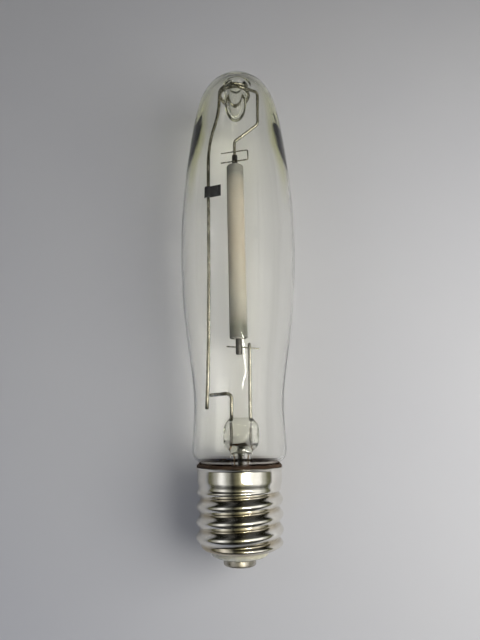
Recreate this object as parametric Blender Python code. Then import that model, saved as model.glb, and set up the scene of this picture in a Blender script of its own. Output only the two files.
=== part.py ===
# High-pressure sodium grow lamp: clear elliptical-tubular bulb on a mogul screw base.
#
# Frame: metres.  The lamp's axis is world +Y.  The origin is the middle of the solder
# button's flat end, so the base is at low Y and the dome at high Y.  +X runs from the
# frame rod across to the lead rod, in the plane of the wire mount.  +Z is up when the
# lamp lies level with that plane flat.
#
# Every position along the lamp is called "along".  The shell, insulator and contact are
# measured from the contact end.  The glass and all that it carries are measured from a datum
# a little above it, because they are set in the shell as one sealed unit.

import math

import bmesh
import bpy
from mathutils import Matrix, Vector

MM = 0.001

# ---------------------------------------------------------------- driving dimensions
CREST_R = 19.55 * MM            # mogul thread, over the crests
ROOT_R = 17.80 * MM             # mogul thread, in the roots
PITCH = 6.35 * MM               # four turns to the inch
FIRST_CREST = 9.4 * MM          # where a crest passes the +X side
BRIM = 42.2 * MM                # open end of the screw shell
DATUM = 1.1 * MM                # the glass and its wires are measured from this plane
ARC_LOW = 101.0 * MM            # lower end of the ceramic tube
ARC_HIGH = 191.9 * MM           # upper end of the ceramic tube
GAP = 0.3 * MM                  # between neighbours that touch on the real lamp

# ---------------------------------------------------------------- worked from them
GLASS = 0.9 * MM                # wall of the bulb
SHELL_WALL = 0.45 * MM          # nickel-plated brass
THREAD_HIGH = 33.2 * MM
SHELL_LOW = 7.0 * MM
SHELL_TUCK = 3.6 * MM           # height over which the shell closes in on the insulator
SHELL_LIP_R = 13.9 * MM
SKIRT_R = 19.3 * MM
BRIM_R = 20.1 * MM

CONTACT_R = 7.2 * MM
BUTTON_H = 0.8 * MM             # solder stands this far out of the contact
CONTACT_TOP = 3.7 * MM
CONTACT_BORE_R = 1.6 * MM

DIMPLE_X = -0.8 * MM            # the nipple leans off the bulb's axis by this much
DIMPLE_MOUTH = 243.4 * MM
THICK_GLASS = 2.5 * MM          # wall of the dome and of the nipple
THIN_BELOW = 184.0 * MM         # the wall begins to thicken here
THICK_ABOVE = 218.0 * MM

STEM_X = 0.9 * MM               # the wire mount sits this far off the lamp's axis
LEAD_HALF = 4.4 * MM            # each lead rod from the middle of the press
LEAD_R = 0.85 * MM
LEFT_X = STEM_X - LEAD_HALF
RIGHT_X = STEM_X + LEAD_HALF
PRESS_LOW = 49.5 * MM
PRESS_HIGH = 63.0 * MM
PRESS_HALF_T = 3.1 * MM
STEM_TOP = 48.0 * MM
PRESS = [
    (45.5 * MM, 4.4, 4.4), (47.0 * MM, 4.9, 4.9), (48.2 * MM, 5.6, 5.1), (49.0 * MM, 6.6, 4.8),
    (50.0 * MM, 7.5, 4.3), (51.5 * MM, 8.2, 3.6), (53.5 * MM, 8.3, 3.1), (57.0 * MM, 8.3, 3.0),
    (59.0 * MM, 8.1, 3.1), (61.5 * MM, 6.8, 3.0), (PRESS_HIGH, 5.6, 2.4),
]
STEM_TUBE_R = 4.8 * MM
STEM_WALL = 0.9 * MM
FLARE_LOW = 32.0 * MM
EXHAUST_R = 1.7 * MM

ROD_R = 0.85 * MM
ROD_X = -15.1 * MM
ROD_LOW = 67.1 * MM
CROSS_AT = 74.6 * MM            # where the left lead turns across to the rod
COIL_X = -1.6 * MM
COIL_R = 8.0 * MM
COIL_LOW = 232.9 * MM
COIL_RISE = 2.15 * MM           # per turn
COIL_TURN = math.radians(510)

ARM_R = 0.72 * MM
TUBE_R = 4.4 * MM
TUBE_BORE = 3.65 * MM
NB_R = 1.5 * MM
NB_BORE = 1.05 * MM
NB_LOW = 93.0 * MM
NB_HIGH = 198.6 * MM
LEAN_LOW = Vector((0.2, 94.0, 0.0)) * MM     # the arc tube leans a little in its mount
LEAN_HIGH = Vector((-1.4, 200.0, 0.0)) * MM
PLUG_T = 4.0 * MM

HAIR_R = 0.33 * MM
CROSS_R = 0.35 * MM
GETTER_LOW = 174.2 * MM
GETTER_HIGH = 180.4 * MM
GETTER_T = 0.35 * MM


# ---------------------------------------------------------------- scene helpers
def clear_scene():
    for thing in list(bpy.data.objects):
        bpy.data.objects.remove(thing, do_unlink=True)


def material(name, colour, metallic, rough, see_through=0.0):
    mat = bpy.data.materials.new(name)
    mat.use_nodes = True
    shader = mat.node_tree.nodes["Principled BSDF"]
    shader.inputs["Base Color"].default_value = (*colour, 1.0)
    shader.inputs["Metallic"].default_value = metallic
    shader.inputs["Roughness"].default_value = rough
    shader.inputs["Transmission Weight"].default_value = see_through
    mat.diffuse_color = (*colour, 1.0)
    return mat


def finish(name, bm, mat, smooth=True, parent=None, place=None, lift=DATUM):
    """Turn a bmesh into a named object, faces out, raised to the datum it is measured from."""
    bmesh.ops.remove_doubles(bm, verts=bm.verts, dist=1e-6)
    if parent is None:
        bmesh.ops.translate(bm, vec=(0, lift, 0), verts=bm.verts)
    bmesh.ops.recalc_face_normals(bm, faces=bm.faces)
    if bm.calc_volume(signed=True) < 0:
        bmesh.ops.reverse_faces(bm, faces=bm.faces)
    mesh = bpy.data.meshes.new(name)
    bm.to_mesh(mesh)
    bm.free()
    for poly in mesh.polygons:
        poly.use_smooth = smooth
    mesh.materials.append(mat)
    obj = bpy.data.objects.new(name, mesh)
    bpy.context.scene.collection.objects.link(obj)
    if parent is not None:
        obj.parent = parent
    if place is not None:
        obj.matrix_local = place
    return obj


def revolve(profile, segments=24, centre_x=0.0):
    """Turn a closed (radius, along) outline about the lamp's axis.  Radius 0 is a pole."""
    bm = bmesh.new()
    rings = []
    for radius, along in profile:
        if radius < 1e-7:
            rings.append([bm.verts.new((centre_x, along, 0.0))])
            continue
        ring = []
        for k in range(segments):
            a = 2 * math.pi * k / segments
            x = centre_x + radius * math.cos(a)
            ring.append(bm.verts.new((x, along, radius * math.sin(a))))
        rings.append(ring)
    count = len(rings)
    for i in range(count):
        a, b = rings[i], rings[(i + 1) % count]
        join_rings(bm, a, b)
    return bm


def join_rings(bm, a, b):
    if len(a) == 1 and len(b) == 1:
        return
    n = max(len(a), len(b))
    for k in range(n):
        m = (k + 1) % n
        if len(a) == 1:
            bm.faces.new((a[0], b[k], b[m]))
        elif len(b) == 1:
            bm.faces.new((a[k], b[0], a[m]))
        else:
            bm.faces.new((a[k], b[k], b[m], a[m]))


def wire(points, radius, sides=8):
    """A round wire along a path, with flat ends."""
    bm = bmesh.new()
    pts = [Vector(p) for p in points]
    rings = []
    normal = None
    for i, p in enumerate(pts):
        before = pts[i] - pts[i - 1] if i > 0 else pts[1] - pts[0]
        after = pts[i + 1] - pts[i] if i < len(pts) - 1 else before
        tangent = (before.normalized() + after.normalized()).normalized()
        if normal is None:
            helper = Vector((0, 0, 1)) if abs(tangent.z) < 0.9 else Vector((1, 0, 0))
            normal = tangent.cross(helper).normalized()
        normal = (normal - tangent * normal.dot(tangent)).normalized()
        side = tangent.cross(normal)
        half = before.angle(after) / 2
        widen = 1 / max(math.cos(half), 0.7)
        bend = after.normalized() - before.normalized()
        ring = []
        for k in range(sides):
            a = 2 * math.pi * k / sides
            d = normal * math.cos(a) + side * math.sin(a)
            if bend.length > 1e-6:
                axis = bend.normalized()
                d = d + axis * (d.dot(axis) * (widen - 1))
            ring.append(bm.verts.new(p + d * radius))
        rings.append(ring)
    for a, b in zip(rings, rings[1:]):
        join_rings(bm, a, b)
    bm.faces.new(rings[0])
    bm.faces.new(rings[-1])
    return bm


def rounded(points, radius, steps=4):
    """Replace each inner corner of a path by an arc."""
    pts = [Vector(p) for p in points]
    out = [pts[0]]
    for i in range(1, len(pts) - 1):
        a, b, c = pts[i - 1], pts[i], pts[i + 1]
        u, v = (a - b), (c - b)
        reach = min(radius, u.length * 0.45, v.length * 0.45)
        start = b + u.normalized() * reach
        end = b + v.normalized() * reach
        for k in range(steps + 1):
            t = k / steps
            out.append(start.lerp(b, t).lerp(b.lerp(end, t), t))
    out.append(pts[-1])
    return out


def cut(obj, tools):
    """Take closed tools out of an object with exact Booleans, then drop the tools."""
    for tool in tools:
        mod = obj.modifiers.new("bore", "BOOLEAN")
        mod.operation = "DIFFERENCE"
        mod.solver = "EXACT"
        mod.object = tool
        tool.hide_render = True
        tool.display_type = "WIRE"
    bake(obj)
    for tool in tools:
        bpy.data.objects.remove(tool, do_unlink=True)


def bake(obj):
    """Apply an object's modifiers to its mesh."""
    graph = bpy.context.evaluated_depsgraph_get()
    graph.update()
    mesh = bpy.data.meshes.new_from_object(obj.evaluated_get(graph))
    obj.modifiers.clear()
    obj.data = mesh


# ---------------------------------------------------------------- screw base
def solder_button(mats):
    top = BUTTON_H - GAP
    profile = [(0, 0), (2.6 * MM, 0), (3.5 * MM, 0.12 * MM), (4.2 * MM, top), (0, top)]
    finish("solder_button", revolve(profile, 20), mats["solder"], lift=0)


def centre_contact(mats):
    low, high = BUTTON_H, CONTACT_TOP
    profile = [
        (CONTACT_BORE_R, low),
        (CONTACT_R - 0.7 * MM, low),
        (CONTACT_R - 0.15 * MM, low + 0.35 * MM),
        (CONTACT_R, low + 0.9 * MM),
        (CONTACT_R, high - 0.2 * MM),
        (CONTACT_R - 0.3 * MM, high),
        (CONTACT_BORE_R, high),
    ]
    finish("centre_contact", revolve(profile, 28), mats["tin"], lift=0)


def base_insulator(mats):
    low = CONTACT_TOP + GAP
    inner = ROOT_R - SHELL_WALL - 1.2 * MM
    profile = [
        (CONTACT_BORE_R, low),
        (CONTACT_R + 0.5 * MM, low),
        (CONTACT_R + 2.0 * MM, low + 0.1 * MM),
        (11.2 * MM, 4.6 * MM),
        (12.4 * MM, 5.3 * MM),
        (13.0 * MM, 6.3 * MM),
        (13.1 * MM, 7.8 * MM),
        (inner, 11.0 * MM),
        (inner, 13.2 * MM),
        (6.0 * MM, 14.2 * MM),
        (CONTACT_BORE_R, 14.2 * MM),
    ]
    finish("base_insulator", revolve(profile, 28), mats["ivory"], lift=0)


def thread_radius(angle, along):
    """Rounded mogul thread, right-handed, running out smoothly at both ends."""
    mid = (CREST_R + ROOT_R) / 2
    half = (CREST_R - ROOT_R) / 2
    wave = math.cos(2 * math.pi * (along - FIRST_CREST) / PITCH + angle)
    return mid + half * wave


def blend(low, high, t):
    t = min(max(t, 0.0), 1.0)
    return low + (high - low) * t * t * (3 - 2 * t)


def shell_radius(angle, along):
    r = thread_radius(angle, along)
    skirt = blend(SKIRT_R - 0.6 * MM, SKIRT_R, (along - THREAD_HIGH) / (3.5 * MM))
    r = blend(r, skirt, (along - THREAD_HIGH + 1.8 * MM) / (2.2 * MM))
    flare = blend(0, BRIM_R - SKIRT_R, (along - BRIM + 1.2 * MM) / (1.2 * MM))
    start = (along - SHELL_LOW) / SHELL_TUCK
    if start < 1:
        r = SHELL_LIP_R + (r - SHELL_LIP_R) * (1 - (1 - start) ** 2)
    return r + flare


def screw_shell(mats):
    segments = 28
    rows = [SHELL_LOW + SHELL_TUCK * share for share in (0, 0.12, 0.3, 0.55, 0.8)]
    step = PITCH / 6
    along = rows[-1] + step
    while along < THREAD_HIGH:
        rows.append(along)
        along += step
    rows += [THREAD_HIGH + 0.1 * MM, THREAD_HIGH + 0.6 * MM, THREAD_HIGH + 2.0 * MM]
    rows += [THREAD_HIGH + 3.5 * MM, BRIM - 1.2 * MM, BRIM - 0.5 * MM, BRIM]
    bm = bmesh.new()
    outer, inner = [], []
    for row, along in enumerate(rows):
        ring_out, ring_in = [], []
        for k in range(segments):
            a = 2 * math.pi * k / segments
            r = shell_radius(a, along)
            ring_out.append(bm.verts.new((r * math.cos(a), along, r * math.sin(a))))
            up = along + SHELL_WALL * max(0.0, 1 - row / 3)
            s = r - SHELL_WALL
            ring_in.append(bm.verts.new((s * math.cos(a), up, s * math.sin(a))))
        outer.append(ring_out)
        inner.append(ring_in)
    for a, b in zip(outer, outer[1:]):
        join_rings(bm, a, b)
    for a, b in zip(inner, inner[1:]):
        join_rings(bm, b, a)
    join_rings(bm, inner[0], outer[0])
    join_rings(bm, outer[-1], inner[-1])
    finish("screw_shell", bm, mats["nickel"], lift=0)


def side_solder(mats):
    """The joint of the side lead, on the outside of the skirt near the brim."""
    bm = bmesh.new()
    bmesh.ops.create_uvsphere(bm, u_segments=12, v_segments=8, radius=1.0)
    size = Matrix.Diagonal((1.7 * MM, 2.1 * MM, 0.55 * MM, 1.0))
    turn = Matrix.Rotation(math.radians(215), 4, "Y")
    reach = SKIRT_R + 0.85 * MM + 0.1 * MM
    out = Matrix.Translation((0, BRIM - 4.4 * MM, 0)) @ turn
    bmesh.ops.transform(bm, matrix=out @ Matrix.Translation((0, 0, reach)) @ size, verts=bm.verts)
    finish("side_solder", bm, mats["solder"], lift=0)


def basing_cement(mats):
    out = SKIRT_R - SHELL_WALL - GAP
    low, high = 34.3 * MM, 41.7 * MM
    profile = [
        (17.35 * MM, low),
        (out - 0.55 * MM, low),
        (out, low + 2.6 * MM),
        (out, high),
        (out - 0.4 * MM, high + 0.3 * MM),
        (17.9 * MM, high + 0.1 * MM),
        (17.5 * MM, high - 1.6 * MM),
    ]
    finish("basing_cement", revolve(profile, 32), mats["cement"], lift=0)


# ---------------------------------------------------------------- glass
def bulb_outline():
    """Outside of the bulb, from the neck's end over the bulge to the dome's rim."""
    knots = [
        (31.5, 16.60), (36.0, 16.75), (40.2, 17.05), (43.0, 18.6), (45.4, 20.9),
        (49.0, 21.75), (58.0, 21.35), (68.0, 21.00), (78.0, 21.60), (90.0, 23.25),
        (102.0, 25.05), (114.0, 26.60), (130.0, 27.90), (147.0, 28.50), (164.0, 28.15),
        (180.0, 27.05), (196.0, 25.45), (210.0, 23.65), (220.0, 21.95), (229.0, 19.7),
        (235.4, 16.7), (239.4, 13.3), (242.0, 10.1), (243.7, 7.2), (244.3, 5.4),
    ]
    return [Vector((r, s)) * MM for s, r in knots]


def dimple_outline():
    """Air side of the nipple that is drawn inwards from the middle of the dome."""
    knots = [
        (243.9, 4.2), (242.2, 3.6), (238.0, 3.5), (232.0, 3.5), (228.0, 3.3),
        (225.6, 2.5), (224.4, 1.3), (224.1, 0.0),
    ]
    return [Vector((r, s)) * MM for s, r in knots]


def offset_outline(points, distance):
    """Move an open outline sideways, to its left.  The distance may change from point to point."""
    out = []
    for i, p in enumerate(points):
        a = points[max(i - 1, 0)]
        b = points[min(i + 1, len(points) - 1)]
        d = (b - a).normalized()
        by = distance(p) if callable(distance) else distance
        out.append(p + Vector((-d.y, d.x)) * by)
    return out


def glass_wall(point):
    """The blown wall is thin, and thickens towards the dome and the nipple."""
    return blend(GLASS, THICK_GLASS, (point.y - THIN_BELOW) / (THICK_ABOVE - THIN_BELOW))


def outer_bulb(mats):
    dome, nipple = bulb_outline(), dimple_outline()
    groove = [Vector((7.3, 240.4)) * MM, Vector((6.4, 239.8)) * MM]
    inside = offset_outline(dome, glass_wall)[:-2] + groove
    inside += offset_outline(nipple, glass_wall)[2:]
    inside[-1].x = 0.0
    inside[0].y = dome[0].y
    profile = [(p.x, p.y) for p in dome + nipple]
    profile += [(p.x, p.y) for p in reversed(inside)]
    bm = revolve(profile, 28)
    for vert in bm.verts:
        if math.hypot(vert.co.x, vert.co.z) < 7.0 * MM:
            vert.co.x += blend(0.0, DIMPLE_X, (DIMPLE_MOUTH - vert.co.y) / (5.0 * MM))
    finish("outer_bulb", bm, mats["glass"])


def stem(mats):
    """Flare, stem tube and press: one piece of glass, bored for the wires it holds."""
    r, w = STEM_TUBE_R, STEM_WALL
    profile = [
        (0.0, FLARE_LOW - 0.2 * MM),
        (13.8 * MM, FLARE_LOW - 0.2 * MM),
        (14.4 * MM, FLARE_LOW + 0.2 * MM),
        (14.0 * MM, FLARE_LOW + 1.5 * MM),
        (10.0 * MM, FLARE_LOW + 3.6 * MM),
        (6.6 * MM, FLARE_LOW + 6.0 * MM),
        (r + 0.3 * MM, FLARE_LOW + 8.6 * MM),
        (r, FLARE_LOW + 11.0 * MM),
        (r, STEM_TOP),
        (0.0, STEM_TOP),
    ]
    tube = finish("stem_press", revolve(profile, 28, STEM_X), mats["clear"])
    paddle = finish("paddle", loft(PRESS), mats["clear"])
    mod = tube.modifiers.new("press", "BOOLEAN")
    mod.operation = "UNION"
    mod.solver = "EXACT"
    mod.object = paddle
    paddle.hide_render = True
    paddle.display_type = "WIRE"
    bake(tube)
    bpy.data.objects.remove(paddle, do_unlink=True)
    hollow = [
        (FLARE_LOW - 2.0 * MM, 13.3, 13.3), (FLARE_LOW + 0.6 * MM, 13.0, 13.0),
        (FLARE_LOW + 2.8 * MM, 9.2, 9.2), (FLARE_LOW + 5.2 * MM, 5.8, 5.8),
        (FLARE_LOW + 8.0 * MM, 4.3, 4.3), (FLARE_LOW + 11.0 * MM, 3.9, 3.9),
        (46.4 * MM, 3.9, 3.9), (47.5 * MM, 4.5, 3.8), (48.5 * MM, 5.3, 3.2),
        (PRESS_LOW, 5.5, 2.2), (PRESS_LOW + 0.3 * MM, 5.0, 1.6),
    ]
    tools = [finish("hollow", loft(hollow, 1.0), mats["clear"])]
    for x in (LEFT_X, RIGHT_X):
        bore = [(x, PRESS_LOW - 0.6 * MM, 0), (x, PRESS_HIGH + 3 * MM, 0)]
        tools.append(finish("bore", wire(bore, LEAD_R + GAP, 12), mats["clear"]))
    vent = [
        (STEM_X, PRESS_LOW - 1 * MM, 0),
        (STEM_X, PRESS_LOW + 6.0 * MM, 0),
        (STEM_X + 0.4 * MM, PRESS_LOW + 9.0 * MM, PRESS_HALF_T + 3.0 * MM),
    ]
    tools.append(finish("vent", wire(rounded(vent, 2 * MM, 3), 1.3 * MM, 10), mats["clear"]))
    cut(tube, tools)


def loft(sections, square=0.7):
    """A closed skin through (along, half width, half thickness) sections, in millimetres."""
    bm = bmesh.new()
    rings = []
    for along, wide, thick in sections:
        ring = []
        for k in range(24):
            a = 2 * math.pi * k / 24
            c, s = math.cos(a), math.sin(a)
            x = math.copysign(abs(c) ** square, c) * wide * MM
            z = math.copysign(abs(s) ** square, s) * thick * MM
            ring.append(bm.verts.new((STEM_X + x, along, z)))
        rings.append(ring)
    for a, b in zip(rings, rings[1:]):
        join_rings(bm, a, b)
    bm.faces.new(rings[0])
    bm.faces.new(rings[-1])
    return bm


def exhaust_tube(mats):
    """The pump stem, tipped off to a point inside the base."""
    top = PRESS_LOW - GAP
    bore = EXHAUST_R - 0.6 * MM
    profile = [
        (bore, top),
        (EXHAUST_R, top),
        (EXHAUST_R, 24.0 * MM),
        (1.2 * MM, 21.5 * MM),
        (0.5 * MM, 19.6 * MM),
        (0.0, 19.2 * MM),
        (0.0, 22.0 * MM),
        (bore * 0.6, 23.2 * MM),
        (bore, 25.0 * MM),
    ]
    finish("exhaust_tube", revolve(profile, 16, STEM_X), mats["clear"])


# ---------------------------------------------------------------- leads
def leads(mats):
    seal_low, seal_high = PRESS_LOW + 1.0 * MM, PRESS_HIGH - 2.2 * MM
    left = [
        (LEFT_X, seal_high + GAP, 0),
        (LEFT_X, CROSS_AT, 0),
        (ROD_X + ROD_R + LEAD_R + GAP + 0.3 * MM, CROSS_AT - 0.9 * MM, 0),
    ]
    bent = wire(rounded(left, 3.0 * MM, 5), LEAD_R, 10)
    finish("lead_rod_left", bent, mats["nickel_wire"])
    right = [(RIGHT_X, seal_high + GAP, 0), (RIGHT_X - 0.1 * MM, 98.6 * MM, 0)]
    finish("lead_rod_right", wire(right, LEAD_R, 10), mats["nickel_wire"])
    for name, x in (("seal_wire_left", LEFT_X), ("seal_wire_right", RIGHT_X)):
        finish(name, wire([(x, seal_low, 0), (x, seal_high, 0)], 0.6 * MM), mats["tungsten"])
    top = seal_low - GAP
    in_tube = 2.9 * MM
    to_shell = [
        (LEFT_X, top, 0), (LEFT_X, 48.8 * MM, 0), (STEM_X - in_tube, 45.6 * MM, 0),
        (STEM_X - in_tube, 30.0 * MM, 0), (-12.0 * MM, 27.0 * MM, -2.0 * MM),
        (-16.0 * MM, 28.5 * MM, -3.0 * MM),
    ]
    finish("side_lead_wire", wire(rounded(to_shell, 2 * MM, 3), 0.4 * MM, 6), mats["copper"])
    to_contact = [
        (RIGHT_X, top, 0), (RIGHT_X, 48.8 * MM, 0), (STEM_X + in_tube, 45.6 * MM, 0),
        (STEM_X + in_tube, 22.0 * MM, 0), (0, 14.9 * MM, 0), (0, BUTTON_H + GAP - DATUM, 0),
    ]
    centre = wire(rounded(to_contact, 2 * MM, 3), 0.4 * MM, 6)
    finish("centre_lead_wire", centre, mats["copper"])


# ---------------------------------------------------------------- wire mount
def coil_point(turned):
    """A point on the rod's coil; it starts at the rod's side and goes over the top."""
    a = math.pi - turned
    along = COIL_LOW + COIL_RISE * turned / (2 * math.pi)
    return Vector((COIL_X + COIL_R * math.cos(a), along, COIL_R * math.sin(a)))


def frame_rod(mats):
    path = [
        (ROD_X, ROD_LOW, 0), (ROD_X - 0.2 * MM, 199.0 * MM, 0),
        (ROD_X + 0.4 * MM, 211.0 * MM, 0), (-11.0 * MM, 223.5 * MM, 0),
        (-9.9 * MM, 229.0 * MM, 0),
    ]
    points = rounded(path, 5 * MM, 3)
    steps = 34
    for k in range(steps + 1):
        points.append(coil_point(COIL_TURN * k / steps))
    finish("frame_rod", wire(points, ROD_R, 8), mats["nickel_wire"])


def hanger_arm(mats, axis):
    """Welded over the coil, it steps down to the arc tube and into its niobium tube."""
    over = COIL_R + ROD_R + ARM_R + GAP + 0.08 * MM
    path = [
        (-2.6 * MM, 232.5 * MM, over),
        (2.8 * MM, 231.6 * MM, over - 0.5 * MM),
        (10.9 * MM, 233.5 * MM, 3.2 * MM),
        (11.6 * MM, 217.9 * MM, 1.4 * MM),
        axis(208.0 * MM),
        axis(194.6 * MM),
    ]
    finish("hanger_arm", wire(rounded(path, 1.6 * MM, 3), ARM_R, 8), mats["nickel_wire"])


def getter_flag(mats):
    """A strip of getter metal, hooked over the rod and standing off towards the tube."""
    line = [
        (-17.0, 0.35), (-16.4, 1.05), (-15.6, 1.5), (-14.8, 1.55), (-14.0, 1.35),
        (-13.0, 1.55), (-8.5, 3.4),
    ]
    pts = [Vector(p) * MM for p in line]
    sides = []
    for d in (GETTER_T / 2, -GETTER_T / 2):
        sides.append(offset_outline(pts, d))
    bm = bmesh.new()
    layers = []
    for along in (GETTER_LOW, GETTER_HIGH):
        loop = [bm.verts.new((p.x, along, p.y)) for p in sides[0]]
        loop += [bm.verts.new((p.x, along, p.y)) for p in reversed(sides[1])]
        layers.append(loop)
    join_rings(bm, layers[0], layers[1])
    half = len(pts)
    for loop in layers:
        for i in range(half - 1):
            bm.faces.new((loop[i], loop[i + 1], loop[-2 - i], loop[-1 - i]))
    finish("getter_flag", bm, mats["getter"], smooth=False)


def lower_cross_wire(mats):
    path = [(-5.9 * MM, 97.4 * MM, -2.95 * MM), (10.3 * MM, 95.9 * MM, -1.0 * MM)]
    finish("lower_cross_wire", wire(path, CROSS_R, 8), mats["nickel_wire"])


def hairpin(mats):
    """A springy strap that carries the current past the slip joint."""
    path = [
        (-8.7, 199.0, 1.5), (5.5, 201.2, 1.75), (5.6, 195.0, 2.2), (-8.6, 192.9, 2.2),
    ]
    path = [Vector(p) * MM for p in path]
    path[2].z = path[3].z = 2.25 * MM
    finish("flexible_strap", wire(rounded(path, 0.9 * MM, 3), HAIR_R, 8), mats["nickel_wire"])


# ---------------------------------------------------------------- arc tube
def arc_tube_unit(mats, pivot):
    """The ceramic tube and all that is sealed into it.  It slides along its own axis."""
    place = Matrix.Identity(4)

    def add(name, profile, mat, segments=20):
        finish(name, revolve(profile, segments), mats[mat], parent=pivot, place=place)

    base = LEAN_LOW.y
    low, high = ARC_LOW - base, ARC_HIGH - base
    add("arc_tube", [
        (TUBE_BORE, low), (TUBE_R - 0.2 * MM, low), (TUBE_R, low + 0.2 * MM),
        (TUBE_R, high - 0.2 * MM), (TUBE_R - 0.2 * MM, high), (TUBE_BORE, high),
    ], "ceramic", 24)
    seat = NB_R + GAP
    reach = TUBE_BORE - GAP
    for name, a, b in (
        ("end_plug_lower", low + 0.6 * MM, low + PLUG_T),
        ("end_plug_upper", high - PLUG_T, high - 0.6 * MM),
    ):
        add(name, [(seat, a), (reach, a), (reach, b), (seat, b)], "plug")
    for name, face, out in (
        ("frit_seal_lower", low + 0.6 * MM, -1),
        ("frit_seal_upper", high - 0.6 * MM, 1),
    ):
        a = face + out * 0.3 * MM
        b = face + out * 1.1 * MM
        add(name, [(seat, a), (2.9 * MM, a), (2.2 * MM, b), (seat, b)], "frit", 16)
    niobium_tubes(mats, add, low, high, base)
    electrodes(mats, pivot, place, low, high)


def niobium_tubes(mats, add, low, high, base):
    end = NB_LOW - base
    inner = low + PLUG_T + 0.8 * MM
    add("niobium_tube_lower", [
        (0.0, end), (1.3 * MM, end), (NB_R, end + 0.3 * MM), (NB_R, inner),
        (NB_BORE, inner), (NB_BORE, end + 2.0 * MM), (0.0, end + 1.5 * MM),
    ], "niobium", 16)
    top = NB_HIGH - base
    inner = high - PLUG_T - 0.8 * MM
    add("niobium_tube_upper", [
        (0.0, inner), (NB_R, inner), (NB_R, top), (NB_BORE, top),
        (NB_BORE, inner + 1.5 * MM), (0.0, inner + 1.2 * MM),
    ], "niobium", 16)
    bead = end + 3.6 * MM
    add("amalgam_bead", [
        (0.0, bead - 0.7 * MM), (0.6 * MM, bead - 0.35 * MM), (0.7 * MM, bead),
        (0.6 * MM, bead + 0.35 * MM), (0.0, bead + 0.7 * MM),
    ], "amalgam", 10)


def electrodes(mats, pivot, place, low, high):
    reach = 9.5 * MM
    for name, root, out in (("lower", low + PLUG_T, 1), ("upper", high - PLUG_T, -1)):
        start = root + out * 1.2 * MM if out < 0 else root + 0.4 * MM
        tip = root + out * reach
        rod = wire([(0, start, 0), (0, tip, 0)], 0.45 * MM, 8)
        finish("electrode_" + name, rod, mats["tungsten"], parent=pivot, place=place)
        points = []
        turns, steps = 4, 10
        for k in range(turns * steps + 1):
            a = 2 * math.pi * k / steps
            along = tip - out * (1.0 * MM + 0.72 * MM * k / steps)
            points.append((1.05 * MM * math.cos(a), along, 1.05 * MM * math.sin(a)))
        winding = wire(points, 0.28 * MM, 6)
        finish("winding_" + name, winding, mats["tungsten"], parent=pivot, place=place)


# ---------------------------------------------------------------- assembly
def materials():
    return {
        "glass": material("clear_glass", (0.93, 0.95, 0.92), 0.0, 0.03, 1.0),
        "clear": material("stem_glass", (0.90, 0.93, 0.90), 0.0, 0.04, 1.0),
        "nickel": material("nickel_plated_brass", (0.74, 0.70, 0.64), 1.0, 0.18),
        "tin": material("tinned_contact", (0.62, 0.60, 0.55), 1.0, 0.35),
        "solder": material("solder", (0.58, 0.57, 0.55), 1.0, 0.38),
        "ivory": material("ivory_glass_insulator", (0.74, 0.70, 0.58), 0.0, 0.25),
        "cement": material("basing_cement", (0.16, 0.10, 0.06), 0.0, 0.85),
        "nickel_wire": material("nickel_wire", (0.50, 0.48, 0.42), 1.0, 0.30),
        "tungsten": material("tungsten", (0.30, 0.29, 0.28), 1.0, 0.42),
        "copper": material("copper_wire", (0.62, 0.33, 0.20), 1.0, 0.35),
        "getter": material("getter_metal", (0.05, 0.05, 0.055), 0.6, 0.55),
        "ceramic": material("polycrystalline_alumina", (0.86, 0.79, 0.70), 0.0, 0.40),
        "plug": material("alumina_plug", (0.70, 0.68, 0.63), 0.0, 0.55),
        "frit": material("sealing_frit", (0.45, 0.43, 0.40), 0.0, 0.45),
        "niobium": material("niobium", (0.17, 0.17, 0.17), 1.0, 0.42),
        "amalgam": material("sodium_amalgam", (0.52, 0.52, 0.54), 1.0, 0.30),
    }


def main():
    clear_scene()
    mats = materials()
    lean = (LEAN_HIGH - LEAN_LOW).normalized()
    pivot = bpy.data.objects.new("arc_tube_axis", None)
    bpy.context.scene.collection.objects.link(pivot)
    turn = math.atan2(-lean.x, lean.y)
    low_end = LEAN_LOW + Vector((0, DATUM, 0))
    pivot.matrix_world = Matrix.Translation(low_end) @ Matrix.Rotation(turn, 4, "Z")

    def axis(along):
        return LEAN_LOW + lean * ((along - LEAN_LOW.y) / lean.y)

    solder_button(mats)
    centre_contact(mats)
    base_insulator(mats)
    screw_shell(mats)
    side_solder(mats)
    basing_cement(mats)
    outer_bulb(mats)
    stem(mats)
    exhaust_tube(mats)
    leads(mats)
    frame_rod(mats)
    hanger_arm(mats, axis)
    getter_flag(mats)
    lower_cross_wire(mats)
    hairpin(mats)
    arc_tube_unit(mats, pivot)


main()
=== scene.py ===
# %% [markdown]
# # A high-pressure sodium grow lamp
#
# This notebook dresses the solid model of a clear sodium lamp, the kind that hangs over plants in
# a greenhouse. The solid model already holds every piece and its size, so it is loaded first as a
# fixed frame. Each piece here is then a finer piece that stands for one of that frame's parts,
# which is hidden in its place.
#
# The lamp lies along the Y axis. Its solder button is at Y = 0 and its dome at the far end.
# Distances along the lamp are called "along", and radii are measured from that axis. The
# shell, insulator and contact are measured from the button's face. The glass and all that it
# carries are set in the shell as one sealed unit, so they have a datum plane of their own, a
# little above that face, and `add_piece` lifts them by it.

# %% Load the frame
import math

import bmesh
import bpy
from mathutils import Matrix, Vector, noise


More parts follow.
